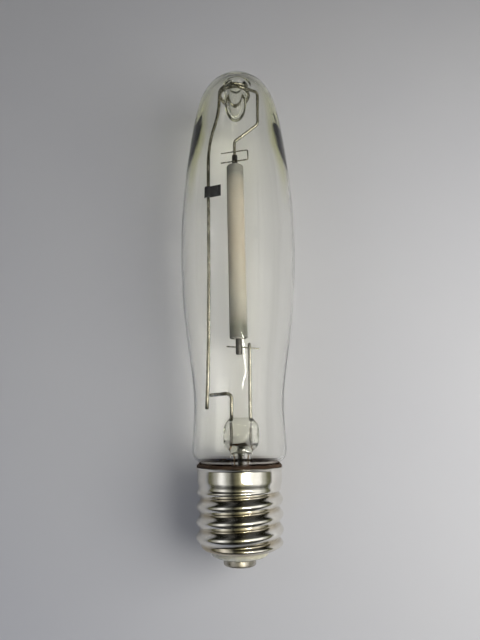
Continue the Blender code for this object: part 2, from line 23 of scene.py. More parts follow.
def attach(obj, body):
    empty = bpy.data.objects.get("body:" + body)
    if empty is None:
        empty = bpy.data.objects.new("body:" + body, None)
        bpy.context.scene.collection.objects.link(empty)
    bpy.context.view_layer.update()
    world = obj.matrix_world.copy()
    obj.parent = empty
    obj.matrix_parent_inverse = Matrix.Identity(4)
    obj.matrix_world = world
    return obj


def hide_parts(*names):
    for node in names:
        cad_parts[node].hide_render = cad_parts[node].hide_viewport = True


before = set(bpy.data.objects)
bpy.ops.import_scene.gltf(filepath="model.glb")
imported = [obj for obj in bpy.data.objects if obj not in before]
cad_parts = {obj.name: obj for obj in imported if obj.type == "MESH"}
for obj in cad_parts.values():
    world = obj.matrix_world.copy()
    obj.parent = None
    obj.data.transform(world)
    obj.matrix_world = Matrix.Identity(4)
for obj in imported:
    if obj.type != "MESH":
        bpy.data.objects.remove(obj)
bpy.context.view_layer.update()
MM = 0.001
FIXED = "lamp"
MOVING = "arc_tube_unit"
DATUM = 1.1

# %% [markdown]
# ## Helpers for shapes
#
# Almost every piece of a lamp is round: it is blown, spun, drawn or rolled. Two helpers make
# them. `turned` spins an outline about the lamp's axis, as a glass lathe does. `drawn` pulls
# a small ring of points along a path, as wire is drawn, by extruding the ring step by step.
# Both finish by merging doubles and pointing the faces out. `spline` and `bent` draw the lines
# that they follow: a flowing curve, and a straight run with rounded corners.

# %% Shape helpers
MERGE_WITHIN = 0.002
LEG_SHARE = 0.45
TOO_SHORT = 1e-7


def add_piece(name, bm, finish, body=FIXED, stands_for=(), lift=DATUM):
    """Make an object of a bmesh, and let it ride on its body. Base pieces have lift 0."""
    bmesh.ops.translate(bm, vec=(0, lift * MM, 0), verts=bm.verts)
    mesh = bpy.data.meshes.new(name)
    bm.to_mesh(mesh)
    bm.free()
    mesh.shade_smooth()
    mesh.materials.append(finish)
    piece = bpy.data.objects.new(name, mesh)
    bpy.context.scene.collection.objects.link(piece)
    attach(piece, body)
    if stands_for:
        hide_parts(*stands_for)
    print(name, len(mesh.polygons), "faces")
    return piece


def tidy_mesh(bm):
    bmesh.ops.remove_doubles(bm, verts=bm.verts, dist=MERGE_WITHIN * MM)
    bmesh.ops.recalc_face_normals(bm, faces=bm.faces)
    if bm.calc_volume(signed=True) < 0:
        bmesh.ops.reverse_faces(bm, faces=bm.faces)
    return bm


def turned(outline, steps, closed=True):
    """Spin an outline of (radius, along) in millimetres about the lamp's axis."""
    bm = bmesh.new()
    verts = [bm.verts.new((r * MM, s * MM, 0.0)) for r, s in outline]
    edges = [bm.edges.new(pair) for pair in zip(verts, verts[1:])]
    if closed:
        edges.append(bm.edges.new((verts[-1], verts[0])))
    bmesh.ops.spin(
        bm, geom=verts + edges, cent=(0, 0, 0), axis=(0, 1, 0), dvec=(0, 0, 0),
        angle=2 * math.pi, steps=steps, use_merge=True, use_duplicate=False,
    )
    return tidy_mesh(bm)


def spline(knots, steps):
    """A smooth curve through knots of two or three numbers (Catmull-Rom)."""
    points = [Vector((*k, 0.0)[:3]) for k in knots]
    out = []
    for i in range(len(points) - 1):
        a = points[max(i - 1, 0)]
        b, c = points[i], points[i + 1]
        d = points[min(i + 2, len(points) - 1)]
        for k in range(steps):
            t = k / steps
            q = 2 * b + (c - a) * t + (2 * a - 5 * b + 4 * c - d) * t * t
            q += (3 * b - a - 3 * c + d) * t ** 3
            out.append(q / 2)
    out.append(points[-1])
    return out


def bent(points, radius, steps):
    """Round each inner corner of a path, as wire bends over a mandrel."""
    pts = [Vector(p) for p in points]
    out = [pts[0]]
    for a, b, c in zip(pts, pts[1:], pts[2:]):
        u, v = a - b, c - b
        reach = min(radius, u.length * LEG_SHARE, v.length * LEG_SHARE)
        start = b + u.normalized() * reach
        end = b + v.normalized() * reach
        for k in range(steps + 1):
            t = k / steps
            out.append(start.lerp(b, t).lerp(b.lerp(end, t), t))
    out.append(pts[-1])
    return out


def drawn(path, radius, sides, nose=0.25):
    """Pull a ring of points along a path in millimetres; nose rounds the cut ends."""
    pts = [Vector(p) * MM for p in path]
    r = radius * MM
    lead = (pts[1] - pts[0]).normalized()
    tail = (pts[-1] - pts[-2]).normalized()
    nose = nose * r
    stations = [(pts[0], r - nose), (pts[0] + lead * nose, r)]
    stations += [(p, r) for p in pts[1:-1]]
    stations += [(pts[-1] - tail * nose, r), (pts[-1], r - nose)]
    bm = bmesh.new()
    turn = lead.to_track_quat("Z", "Y").to_matrix().to_4x4()
    made = bmesh.ops.create_circle(bm, segments=sides, radius=1.0, cap_ends=True)
    ring = made["verts"]
    at = Matrix.Translation(stations[0][0]) @ turn @ Matrix.Scale(stations[0][1], 4)
    bmesh.ops.transform(bm, matrix=at, verts=ring)
    edges = list({e for v in ring for e in v.link_edges if e.is_boundary})
    aim = lead
    for i in range(1, len(stations)):
        here, size = stations[i]
        ahead = stations[min(i + 1, len(stations) - 1)][0] - here
        behind = here - stations[i - 1][0]
        new_aim = aim
        if ahead.length > TOO_SHORT and behind.length > TOO_SHORT:
            new_aim = (ahead.normalized() + behind.normalized()).normalized()
        elif behind.length > TOO_SHORT:
            new_aim = behind.normalized()
        out = bmesh.ops.extrude_edge_only(bm, edges=edges)["geom"]
        verts = [g for g in out if isinstance(g, bmesh.types.BMVert)]
        edges = [g for g in out if isinstance(g, bmesh.types.BMEdge)]
        step = aim.rotation_difference(new_aim).to_matrix().to_4x4()
        new_at = Matrix.Translation(here) @ step @ turn @ Matrix.Scale(size, 4)
        bmesh.ops.transform(bm, matrix=new_at @ at.inverted(), verts=verts)
        turn = step @ turn
        at = new_at
        aim = new_aim
    bmesh.ops.contextual_create(bm, geom=edges)
    return tidy_mesh(bm)


# %% [markdown]
# ## Helpers for finishes
#
# Each finish is a small node network. The same few parts come back in all of them: a
# stretched noise for brushing or drawing marks, a mottling noise for handling and age, and a
# bump from both. `Finish` keeps the shader and wires those parts to it. Every pattern reads
# Object coordinates in metres, so its size on the lamp is its real size. `mottle`, `wander`
# and `relief` are the three uses that most finishes share: patches of close colours, a
# roughness that changes from place to place, and fine relief.

# %% Finish helpers
GRAIN = 0.55
MOST_OF_NOISE = (0.3, 0.7)


class Finish:
    def __init__(self, name, colour, metallic=0.0, rough=0.5):
        self.mat = bpy.data.materials.new(name)
        self.mat.use_nodes = True
        self.tree = self.mat.node_tree
        self.shader = self.tree.nodes["Principled BSDF"]
        self.output = self.tree.nodes["Material Output"]
        self.coords = self.tree.nodes.new("ShaderNodeTexCoord")
        self.height = None
        self.set("Base Color", (*colour, 1.0))
        self.set("Metallic", metallic)
        self.set("Roughness", rough)

    def set(self, socket, value):
        self.shader.inputs[socket].default_value = value

    def link(self, a, b):
        self.tree.links.new(a, b)

    def node(self, kind, **values):
        made = self.tree.nodes.new("ShaderNode" + kind)
        for key, value in values.items():
            setattr(made, key, value)
        return made

    def noise(self, scale, stretch=(1, 1, 1), detail=4):
        """Noise with `scale` cells in a metre, before stretching."""
        place = self.node("Mapping")
        place.inputs["Scale"].default_value = stretch
        self.link(self.coords.outputs["Object"], place.inputs["Vector"])
        made = self.node("TexNoise")
        made.inputs["Scale"].default_value = scale
        made.inputs["Detail"].default_value = detail
        made.inputs["Roughness"].default_value = GRAIN
        self.link(place.outputs["Vector"], made.inputs["Vector"])
        return made.outputs["Fac"]

    def ramp(self, source, stops):
        """Map 0..1 to colours or greys."""
        made = self.node("ValToRGB")
        ramp = made.color_ramp
        while len(ramp.elements) < len(stops):
            ramp.elements.new(0.5)
        for element, (at, value) in zip(ramp.elements, stops):
            element.position = at
            grey = isinstance(value, (int, float))
            element.color = (value, value, value, 1) if grey else (*value, 1)
        self.link(source, made.inputs["Fac"])
        return made.outputs["Color"]

    def remap(self, source, low, high, out_low, out_high):
        made = self.node("MapRange")
        for key, value in zip(("From Min", "From Max", "To Min", "To Max"),
                              (low, high, out_low, out_high)):
            made.inputs[key].default_value = value
        self.link(source, made.inputs["Value"])
        return made.outputs["Result"]

    def maths(self, operation, a, b):
        made = self.node("Math", operation=operation)
        self.link(a, made.inputs[0])
        self.link(b, made.inputs[1])
        return made.outputs[0]

    def along(self):
        """The distance along the lamp, in metres."""
        split = self.node("SeparateXYZ")
        self.link(self.coords.outputs["Object"], split.inputs["Vector"])
        return split.outputs["Y"]

    def mix(self, factor, a, b, blend="MIX"):
        """Mix two colours, which are a Mix node's sockets 6 and 7."""
        made = self.node("Mix", data_type="RGBA", blend_type=blend)
        for socket, value in ((made.inputs["Factor"], factor),
                              (made.inputs[6], a), (made.inputs[7], b)):
            if isinstance(value, bpy.types.NodeSocket):
                self.link(value, socket)
            elif isinstance(value, (int, float)):
                socket.default_value = value
            else:
                socket.default_value = (*value, 1.0)
        return made.outputs[2]

    def bump(self, source, distance, strength=1.0):
        """Stack one more layer of relief; distance is in metres."""
        made = self.node("Bump")
        made.inputs["Distance"].default_value = distance
        made.inputs["Strength"].default_value = strength
        self.link(source, made.inputs["Height"])
        if self.height is not None:
            self.link(self.height, made.inputs["Normal"])
        self.height = made.outputs["Normal"]
        self.link(self.height, self.shader.inputs["Normal"])

    def paint(self, source):
        self.link(source, self.shader.inputs["Base Color"])

    def roughen(self, source):
        self.link(source, self.shader.inputs["Roughness"])

    def mottle(self, scale, stops, detail=4):
        self.paint(self.ramp(self.noise(scale, detail=detail), stops))

    def wander(self, scale, smooth, dull, stretch=(1, 1, 1), detail=4):
        source = self.noise(scale, stretch, detail)
        self.roughen(self.remap(source, *MOST_OF_NOISE, smooth, dull))

    def relief(self, scale, distance, strength, stretch=(1, 1, 1), detail=4):
        self.bump(self.noise(scale, stretch, detail), distance, strength)


# %% [markdown]
# ## Camera
#
# The lamp is looked at from above its neck, with the base towards the viewer, through a
# short lens held about 24 cm away. The lens and distance matter here: they make the base
# look large, and let the eye look up into the dome. The camera is turned by under a degree.

# %% Camera
EYE = Vector((0.8, 58.0, 237.0)) * MM
TILT = math.radians(12.62)
ROLL = math.radians(-0.44)
SENSOR_MM = 36.0
LENS_MM = 27.98
NEAREST = 0.01

camera_data = bpy.data.cameras.new("camera")
camera_data.sensor_width = SENSOR_MM
camera_data.lens = LENS_MM
camera_data.clip_start = NEAREST
camera = bpy.data.objects.new("camera", camera_data)
camera.matrix_world = (
    Matrix.Translation(EYE)
    @ Matrix.Rotation(TILT, 4, "X")
    @ Matrix.Rotation(ROLL, 4, "Z")
)
bpy.context.scene.collection.objects.link(camera)
bpy.context.scene.camera = camera
bpy.context.scene.view_settings.view_transform = "Standard"
print("camera", [round(v / MM) for v in EYE], "mm")

# %% [markdown]
# ## Floor
#
# The lamp rests on its bulge and on the crests of its thread, so the table under it isn't
# parallel to its axis: it slopes by the angle of the line that touches both. The table is a
# pale matt board with a faint tooth. It is wide enough to fill the view, and it is there only
# to be looked at, so it is a stage piece and no part of the lamp.

# %% Floor
BULGE_R, BULGE_AT = 27.95, 131.0
CREST_R, CREST_AT = 19.6, 11.0
TOUCH_GAP = 0.05
TABLE_HALF = 3.0
slope = math.atan2(BULGE_R - CREST_R, BULGE_AT - CREST_AT)
board = Finish("pale_board", (0.62, 0.62, 0.62), 0.0, 0.6)
board.mottle(7.0, [(0.3, (0.655, 0.655, 0.665)), (0.7, (0.685, 0.685, 0.685))])
board.relief(1400.0, 0.00005, 0.4)
board.set("Specular IOR Level", 0.3)
bm = bmesh.new()
bmesh.ops.create_grid(bm, x_segments=8, y_segments=8, size=TABLE_HALF)
lift = -(BULGE_R + TOUCH_GAP) / math.cos(slope) * MM
place = Matrix.Translation((0, BULGE_AT * MM, lift)) @ Matrix.Rotation(-slope, 4, "X")
bmesh.ops.transform(bm, matrix=place, verts=bm.verts)
mesh = bpy.data.meshes.new("floor")
bm.to_mesh(mesh)
bm.free()
mesh.materials.append(board.mat)
floor = bpy.data.objects.new("floor", mesh)
bpy.context.scene.collection.objects.link(floor)
print("floor slopes", round(math.degrees(slope), 2), "degrees")

# %% [markdown]
# ## Light
#
# Bright nickel and clear glass show little but what stands around them. So the studio is
# made as a soft dome: a broad warm light on the right, a smaller plain one on the left, a dim
# gap between them where the viewer stands, and dark walls down to the horizon. The dome is a
# ramp over the angle from straight up, which fades towards the lamp's two ends. An image of a
# room could stand in its place, but a ramp of a few lobes is easier to read and to change.

# %% Studio dome
# Each lobe is (degrees to the right of straight up, colour).
DOME = [
    (-180, (0.13, 0.14, 0.15)), (-98, (0.14, 0.14, 0.09)), (-82, (0.12, 0.12, 0.08)),
    (-66, (0.36, 0.36, 0.34)), (-48, (1.05, 1.05, 1.05)), (-30, (0.34, 0.34, 0.31)),
    (-19, (0.05, 0.05, 0.04)), (-3, (0.20, 0.19, 0.12)), (9, (0.76, 0.72, 0.50)),
    (23, (1.00, 0.98, 0.86)), (34, (1.12, 1.11, 1.05)), (54, (1.12, 1.11, 1.08)),
    (67, (0.50, 0.50, 0.46)), (82, (0.14, 0.14, 0.09)), (98, (0.14, 0.14, 0.09)),
    (180, (0.13, 0.14, 0.15)),
]
# Each stop is (the sine of the angle towards either end of the lamp, brightness).
END_FADE = [(0.30, 1.0), (0.58, 0.09), (1.0, 0.05)]

world = bpy.data.worlds.new("studio")
world.use_nodes = True
bpy.context.scene.world = world
sky = world.node_tree
air = sky.nodes["Background"]


def sky_node(kind, **values):
    made = sky.nodes.new("ShaderNode" + kind)
    for key, value in values.items():
        setattr(made, key, value)
    return made


def sky_ramp(source, stops):
    made = sky_node("ValToRGB")
    made.color_ramp.interpolation = "EASE"
    elements = made.color_ramp.elements
    while len(elements) < len(stops):
        elements.new(0.5)
    for element, (at, colour) in zip(elements, stops):
        element.position = at
        element.color = (*colour, 1) if isinstance(colour, tuple) else (colour,) * 3 + (1,)
    sky.links.new(source, made.inputs["Fac"])
    return made.outputs["Color"]


way = sky_node("TexCoord")
parts = sky_node("SeparateXYZ")
sky.links.new(way.outputs["Generated"], parts.inputs["Vector"])
around = sky_node("Math", operation="ARCTAN2")
sky.links.new(parts.outputs["X"], around.inputs[0])
sky.links.new(parts.outputs["Z"], around.inputs[1])
turn = sky_node("MapRange")
turn.inputs["From Min"].default_value = -math.pi
turn.inputs["From Max"].default_value = math.pi
sky.links.new(around.outputs[0], turn.inputs["Value"])
lobes = sky_ramp(turn.outputs["Result"], [((a + 180) / 360, c) for a, c in DOME])
lengthwise = sky_node("Math", operation="ABSOLUTE")
sky.links.new(parts.outputs["Y"], lengthwise.inputs[0])
fade = sky_ramp(lengthwise.outputs[0], END_FADE)
dome = sky_node("Mix", data_type="RGBA", blend_type="MULTIPLY")
dome.inputs["Factor"].default_value = 1.0
sky.links.new(lobes, dome.inputs[6])
sky.links.new(fade, dome.inputs[7])
sky.links.new(dome.outputs[2], air.inputs["Color"])
print("dome of", len(DOME), "lobes")

# %% [markdown]
# Only mirrors and glass see that dome. Matt surfaces are lit by a plain dim fill in its place,
# and by the near lights below, so that the table keeps its strong fall from right to left.
# Where the eye looks straight past the lamp it sees a plain pale backdrop.

# %% Fill and backdrop
FILL = (0.155, 0.156, 0.163)
BACKDROP = (0.42, 0.42, 0.43)


def sky_choice(ray, otherwise, chosen):
    """Mix two skies by the kind of ray that meets them."""
    choose = sky_node("MixShader")
    sky.links.new(looking.outputs[ray], choose.inputs[0])
    sky.links.new(otherwise, choose.inputs[1])
    sky.links.new(chosen, choose.inputs[2])
    return choose.outputs[0]


looking = sky_node("LightPath")
fill, backdrop = sky_node("Background"), sky_node("Background")
fill.inputs["Color"].default_value = (*FILL, 1)
backdrop.inputs["Color"].default_value = (*BACKDROP, 1)
seen = sky_choice("Is Glossy Ray", fill.outputs[0], air.outputs[0])
seen = sky_choice("Is Camera Ray", seen, backdrop.outputs[0])
sky.links.new(seen, sky.nodes["World Output"].inputs["Surface"])

# %% [markdown]
# ## Near lights
#
# Four area lights stand near the lamp, because only a near light falls off across the table.
# The window on the right is the strongest. A cool fill comes from behind the base, and a weak
# box from the left keeps the far side from going black. Mirrors and glass don't see these
# three, because the dome already stands for what they reflect. The strip is the opposite: it
# is seen only as the long thin reflection on the glass, and matt pieces aren't lit by it.

# %% Near lights
def overhead(degrees_right, degrees_up):
    """A direction so many degrees right of straight up, and tipped towards the dome."""
    a, b = math.radians(degrees_right), math.radians(degrees_up)
    return Vector((math.sin(a) * math.cos(b), math.sin(b), math.cos(a) * math.cos(b)))


def soft_box(name, toward, distance, size, power, colour=(1, 1, 1), about=(0, 0.07, 0)):
    """An area light in the direction `toward` of the point `about`, facing it."""
    lamp = bpy.data.lights.new(name, "AREA")
    lamp.shape = "RECTANGLE"
    lamp.size, lamp.size_y = size
    lamp.energy = power
    lamp.color = colour
    made = bpy.data.objects.new(name, lamp)
    facing = toward.to_track_quat("Z", "Y").to_matrix().to_4x4()
    made.matrix_world = Matrix.Translation(Vector(about) + toward * distance) @ facing
    made.visible_camera = False
    bpy.context.scene.collection.objects.link(made)
    return made


window = soft_box("window", overhead(45, 0), 0.38, (0.42, 0.42), 1.9, (1.0, 0.985, 0.965),
                  about=(0, 0.06, 0))
strip = soft_box("strip", overhead(19.5, -9.5), 0.9, (0.03, 0.40), 2.2, (1.0, 0.97, 0.85))
strip.visible_diffuse = False
cool = soft_box("cool_fill", Vector((-0.5, -0.75, 0.45)).normalized(), 0.5, (0.3, 0.3), 0.35,
                (0.40, 0.55, 1.0), about=(-0.03, -0.02, 0))
left_box = soft_box("left_box", overhead(-48, 12), 0.55, (0.28, 0.28), 0.13, about=(0, 0.15, 0))
for light in (window, cool, left_box):
    light.visible_glossy = False
print("near lights:", window.name, strip.name, cool.name, left_box.name)

# %% [markdown]
# The window's light dies away over its outer part, as the light of a real soft box does. Its
# reflection is left to the dome, whose broad right lobe stands for it.

# %% Soft edges of the window
WHOLE_LIGHT_FROM = 0.2
MIDDLE = 0.5

window.data.use_nodes = True
glow = window.data.node_tree
face = glow.nodes.new("ShaderNodeNewGeometry")
sides = glow.nodes.new("ShaderNodeSeparateXYZ")
glow.links.new(face.outputs["Parametric"], sides.inputs["Vector"])
share = None
for axis_name in ("X", "Y"):
    from_edge = glow.nodes.new("ShaderNodeMath")
    from_edge.operation = "PINGPONG"
    from_edge.inputs[1].default_value = MIDDLE
    glow.links.new(sides.outputs[axis_name], from_edge.inputs[0])
    fall = glow.nodes.new("ShaderNodeMapRange")
    fall.interpolation_type = "SMOOTHSTEP"
    fall.inputs["From Max"].default_value = WHOLE_LIGHT_FROM
    glow.links.new(from_edge.outputs[0], fall.inputs["Value"])
    if share is None:
        share = fall.outputs["Result"]
    else:
        both = glow.nodes.new("ShaderNodeMath")
        both.operation = "MULTIPLY"
        glow.links.new(share, both.inputs[0])
        glow.links.new(fall.outputs["Result"], both.inputs[1])
        share = both.outputs[0]
glow.links.new(share, glow.nodes["Emission"].inputs["Strength"])
print("window fades over", WHOLE_LIGHT_FROM, "of its side, from each edge")

# %% [markdown]
# ## Clear glass
#
# The bulb is blown hard glass with a thin wall. It has a true inner and outer face, so that
# light bends at both and the edges darken by themselves. The glass is a little yellow-green,
# which shows only along a long path through it, so most of the tint is an absorption in the
# volume and not a colour of the surface. A renderer would put a black shadow under solid
# glass, so for shadow rays only, the shader turns into a thin grey veil, denser at the edges.
# The bulb's reflections are held back where it faces the viewer, because a bright dome would
# hide what is inside. Its edges still reflect fully.

# %% Glass finish
HARD_GLASS_IOR = 1.49
TINT_PER_METRE = 60.0
REFLECTION = 0.32


def glass_finish(name, veil_face, veil_edge, ripple, tint):
    glass = Finish(name, (1.0, 1.0, 1.0), 0.0, 0.0)
    glass.set("Transmission Weight", 1.0)
    glass.set("IOR", HARD_GLASS_IOR)
    glass.relief(60.0, ripple, 0.5, (1, 0.3, 1), 2)
    edge = glass.node("LayerWeight")
    edge.inputs["Blend"].default_value = 0.3
    veil = glass.node("BsdfTransparent")
    glass.link(glass.ramp(edge.outputs["Facing"], [(0.2, veil_face), (0.95, veil_edge)]),
               veil.inputs["Color"])
    path = glass.node("LightPath")
    switch = glass.node("MixShader")
    glass.link(path.outputs["Is Shadow Ray"], switch.inputs[0])
    glass.link(glass.shader.outputs["BSDF"], switch.inputs[1])
    glass.link(veil.outputs["BSDF"], switch.inputs[2])
    glass.link(switch.outputs["Shader"], glass.output.inputs["Surface"])
    body = glass.node("VolumeAbsorption")
    body.inputs["Color"].default_value = (*tint, 1.0)
    body.inputs["Density"].default_value = TINT_PER_METRE
    glass.link(body.outputs["Volume"], glass.output.inputs["Volume"])
    return glass


bulb_glass = glass_finish("clear_hard_glass", (0.75, 0.75, 0.755), (0.42, 0.42, 0.42),
                          0.0003, (0.88, 0.885, 0.66))
bulb_glass.set("Specular Tint", (REFLECTION, REFLECTION, REFLECTION, 1.0))
stem_glass = glass_finish("pressed_stem_glass", (0.88, 0.88, 0.86), (0.40, 0.40, 0.37),
                          0.0016, (0.80, 0.81, 0.64))
print("glass:", bulb_glass.mat.name, stem_glass.mat.name)

# %% [markdown]
# Over the dome's shoulders the wall is thick, and the eye looks along it for a long way. The
# glass turns olive there, so the surface takes an olive tint where it is seen edge on. Down
# in the shell, the cement wets the neck, so the glass shows the cement's brown there.

# %% Olive shoulders and brown neck
EDGE_ON = (0.46, 0.64)
OLIVE_STARTS, OLIVE_ENDS = (174, 200), (214, 238)
STAIN_ENDS = (43.0, 45.2)
OLIVE, STAIN = (0.84, 0.85, 0.40), (0.22, 0.11, 0.05)

facing = bulb_glass.node("LayerWeight")
facing.inputs["Blend"].default_value = 0.5
where = bulb_glass.remap(facing.outputs["Facing"], *EDGE_ON, 0.0, 1.0)
along = bulb_glass.along()
for (low, high), before, after in ((OLIVE_STARTS, 0.0, 1.0), (OLIVE_ENDS, 1.0, 0.0)):
    share = bulb_glass.remap(along, low * MM, high * MM, before, after)
    where = bulb_glass.maths("MULTIPLY", where, share)
stained = bulb_glass.remap(along, STAIN_ENDS[0] * MM, STAIN_ENDS[1] * MM, 1.0, 0.0)
neck = bulb_glass.mix(stained, (1.0, 1.0, 1.0), STAIN)
bulb_glass.paint(bulb_glass.mix(where, neck, OLIVE))
print("olive from", OLIVE_STARTS[0], "to", OLIVE_ENDS[1], "mm, brown under", STAIN_ENDS[1], "mm")

# %% [markdown]
# ## Bulb
#
# The outline starts inside the screw shell, swells over the neck and the bulge, closes to
# the dome, and then turns back inwards as a hollow nipple. The wire mount is steadied on
# that nipple. The inner face follows the outer one, and the wall grows slowly thicker over
# the last quarter, because the glass gathered there as the end was closed. That thick glass
# is what darkens the dome's edges. Gathered glass is never quite even, so the inner face of
# both shoulders is moved in and out by a little noise. Spinning a closed outline makes both
# faces at once, and keeps the bulb one watertight piece.

# %% Bulb
THIN_WALL, THICK_WALL = 0.9, 2.5
SHOULDERS = [
    (16.60, 31.5), (16.75, 36.0), (17.05, 40.2), (18.60, 43.0), (20.90, 45.4),
    (21.75, 49.0), (21.35, 58.0), (21.00, 68.0), (21.60, 78.0), (23.25, 90.0),
    (25.05, 102.0), (26.60, 114.0), (27.90, 130.0), (28.46, 147.0), (28.15, 164.0),
    (27.05, 180.0), (25.45, 196.0), (23.65, 210.0), (21.95, 220.0), (19.70, 229.0),
    (16.70, 235.4), (13.30, 239.4), (10.10, 242.0), (7.20, 243.7), (5.60, 244.3),
]
RIM = [(4.75, 244.2), (4.2, 243.6), (3.8, 242.6)]
NIPPLE = [(3.6, 241.4), (3.5, 238.0), (3.5, 232.0), (3.3, 228.0), (2.5, 225.6), (1.3, 224.4),
          (0.0, 224.1)]
GROOVE = [(8.4, 240.5), (7.2, 240.2), (6.4, 239.3)]
OUTLINE_STEPS, GROOVE_STEPS, ROUND_STEPS = 7, 4, 160
THICKENS = (184, 218)
BODY_INNER_ENDS_R, NIPPLE_INNER_STARTS = 8.9, 238.6
NIPPLE_LEAN, LEANS_FROM, LEANS_OVER = -0.8, 243.4, 5.0
NIPPLE_ZONE_R, NIPPLE_ZONE_FROM = 7.0, 200
UNEVEN, UNEVEN_GRAIN = 0.16, 190
UNEVEN_RISES, UNEVEN_FALLS, UNEVEN_SIDES = (190, 206), (218, 232), (0.72, 0.92)
UNEVEN_OUTSIDE_R = 12.0


def ease(low, high, value):
    t = min(max((value - low) / (high - low), 0.0), 1.0)
    return t * t * (3 - 2 * t)


def wall_at(point):
    """The blown wall is thin, and thickens slowly towards the dome and the nipple."""
    return THIN_WALL + (THICK_WALL - THIN_WALL) * ease(*THICKENS, point.y)


def inner_face(points, wall):
    """The same outline moved inwards by the wall."""
    out = []
    for i, p in enumerate(points):
        run = points[min(i + 1, len(points) - 1)] - points[max(i - 1, 0)]
        run.normalize()
        out.append(p + Vector((-run.y, run.x, 0.0)) * wall(p))
    return out


outer_face = spline(SHOULDERS + RIM + NIPPLE, OUTLINE_STEPS)
body_inner = inner_face(spline(SHOULDERS, OUTLINE_STEPS), wall_at)
body_inner = [p for p in body_inner if p.x > BODY_INNER_ENDS_R]
body_inner[0].y = SHOULDERS[0][1]
nipple_inner = inner_face(spline(NIPPLE, OUTLINE_STEPS), wall_at)
nipple_inner = [p for p in nipple_inner if p.y < NIPPLE_INNER_STARTS]
nipple_inner[-1].x = 0.0
groove = spline([body_inner[-1]] + GROOVE + [nipple_inner[0]], GROOVE_STEPS)
inner = body_inner[:-1] + groove + nipple_inner[1:]
bm = turned([(max(p.x, 0.0), p.y) for p in outer_face + inner[::-1]], ROUND_STEPS)
for vert in bm.verts:
    r, along = math.hypot(vert.co.x, vert.co.z) / MM, vert.co.y / MM
    if r < NIPPLE_ZONE_R and along > NIPPLE_ZONE_FROM:
        vert.co.x += NIPPLE_LEAN * MM * ease(0.0, LEANS_OVER, LEANS_FROM - along)
    elif r > UNEVEN_OUTSIDE_R and UNEVEN_RISES[0] < along < UNEVEN_FALLS[1]:
        depth = UNEVEN * ease(*UNEVEN_RISES, along) * (1 - ease(*UNEVEN_FALLS, along))
        depth *= ease(*UNEVEN_SIDES, abs(vert.co.x) / MM / r)
        outwards = vert.co.xz.to_3d().xzy.normalized()
        vert.co += outwards * depth * MM * noise.noise(vert.co * UNEVEN_GRAIN)
add_piece("bulb", bm, bulb_glass.mat, stands_for=["outer_bulb"])

# %% [markdown]
# ## Stem and press
#
# The stem is a flared glass tube whose end was heated soft and pinched flat round the two
# leads. It is one loft: a ring of points is carried up the inside of the tube, round the
# flare's lip, up the outside and on to the flattened press, and each ring is then given its
# own width, thickness and squareness.

# %% Loft helper
def lofted(stations, sides, centre_x):
    """Carry a ring through (along, half width, half thickness, squareness) stations."""
    bm = bmesh.new()
    ring = bmesh.ops.create_circle(bm, segments=sides, radius=1.0, cap_ends=True)["verts"]
    flat = Matrix.Rotation(math.radians(90), 4, "X")
    bmesh.ops.transform(bm, matrix=flat, verts=ring)
    edges = list({e for v in ring for e in v.link_edges if e.is_boundary})
    for _ in stations[1:]:
        out = bmesh.ops.extrude_edge_only(bm, edges=edges)["geom"]
        edges = [g for g in out if isinstance(g, bmesh.types.BMEdge)]
        verts = [g for g in out if isinstance(g, bmesh.types.BMVert)]
        bmesh.ops.translate(bm, vec=(0, 1, 0), verts=verts)
    bmesh.ops.contextual_create(bm, geom=edges)
    for vert in bm.verts:
        along, wide, thick, square = stations[round(vert.co.y)]
        c, s = vert.co.x, vert.co.z
        x = math.copysign(abs(c) ** square, c) * wide
        z = math.copysign(abs(s) ** square, s) * thick
        vert.co = Vector((centre_x + x, along, z)) * MM
    return tidy_mesh(bm)


# %% [markdown]
# The stem's stations are (along, half width, half thickness). Inside, they stay round. On the
# press they grow flat and their corners square up. The press was squeezed while it was soft,
# so its faces are then given slow dents, and its edges a slight sway.

# %% Stem
STEM_X = 0.9
STEM_SIDES, STEM_STEPS = 72, 4
ROUND_BELOW, PRESS_SQUARENESS = 49, 0.74
LEAST_WIDTH = 0.05
PINCHED = (49.5, 52.5)
DENT_SHARE, DENT_GRAIN = 0.16, 330
SWAY, SWAY_GRAIN, SWAY_SEED = 0.28, 210, Vector((3, 1, 5))
INSIDE = [
    (48.3, 0.4, 0.4), (48.2, 2.2, 2.0), (47.4, 3.5, 3.2), (46.0, 3.85, 3.8), (43.6, 3.9, 3.9),
    (41.0, 4.1, 4.1), (38.4, 4.8, 4.8), (36.4, 6.4, 6.4), (34.8, 9.2, 9.2), (33.2, 12.4, 12.4),
    (32.1, 13.5, 13.5),
]
OUTSIDE = [
    (31.9, 14.0, 14.0), (32.3, 14.4, 14.4), (33.5, 14.0, 14.0), (35.4, 10.2, 10.2),
    (37.6, 7.0, 7.0), (40.2, 5.3, 5.3), (42.6, 4.8, 4.8), (45.0, 4.8, 4.8), (47.0, 4.9, 4.9),
    (48.2, 5.6, 5.0), (49.2, 6.8, 4.6), (50.4, 7.8, 4.0), (51.8, 8.25, 3.4),
    (53.5, 8.3, 3.05), (55.5, 8.25, 2.95), (57.2, 8.3, 3.0), (58.9, 8.1, 3.1),
    (60.4, 7.4, 3.1), (61.6, 6.6, 3.0), (62.4, 6.0, 2.7), (62.9, 5.3, 2.2), (63.0, 4.2, 1.5),
    (63.0, 0.5, 0.3),
]
knots = INSIDE + OUTSIDE
smooth = spline([(w, s, t) for s, w, t in knots], STEM_STEPS)
square = spline([(1.0 if s < ROUND_BELOW else PRESS_SQUARENESS, 0) for s, _, _ in knots],
                STEM_STEPS)
stations = [(p.y, max(p.x, LEAST_WIDTH), max(p.z, LEAST_WIDTH), q.x)
            for p, q in zip(smooth, square)]
bm = lofted(stations, STEM_SIDES, STEM_X)
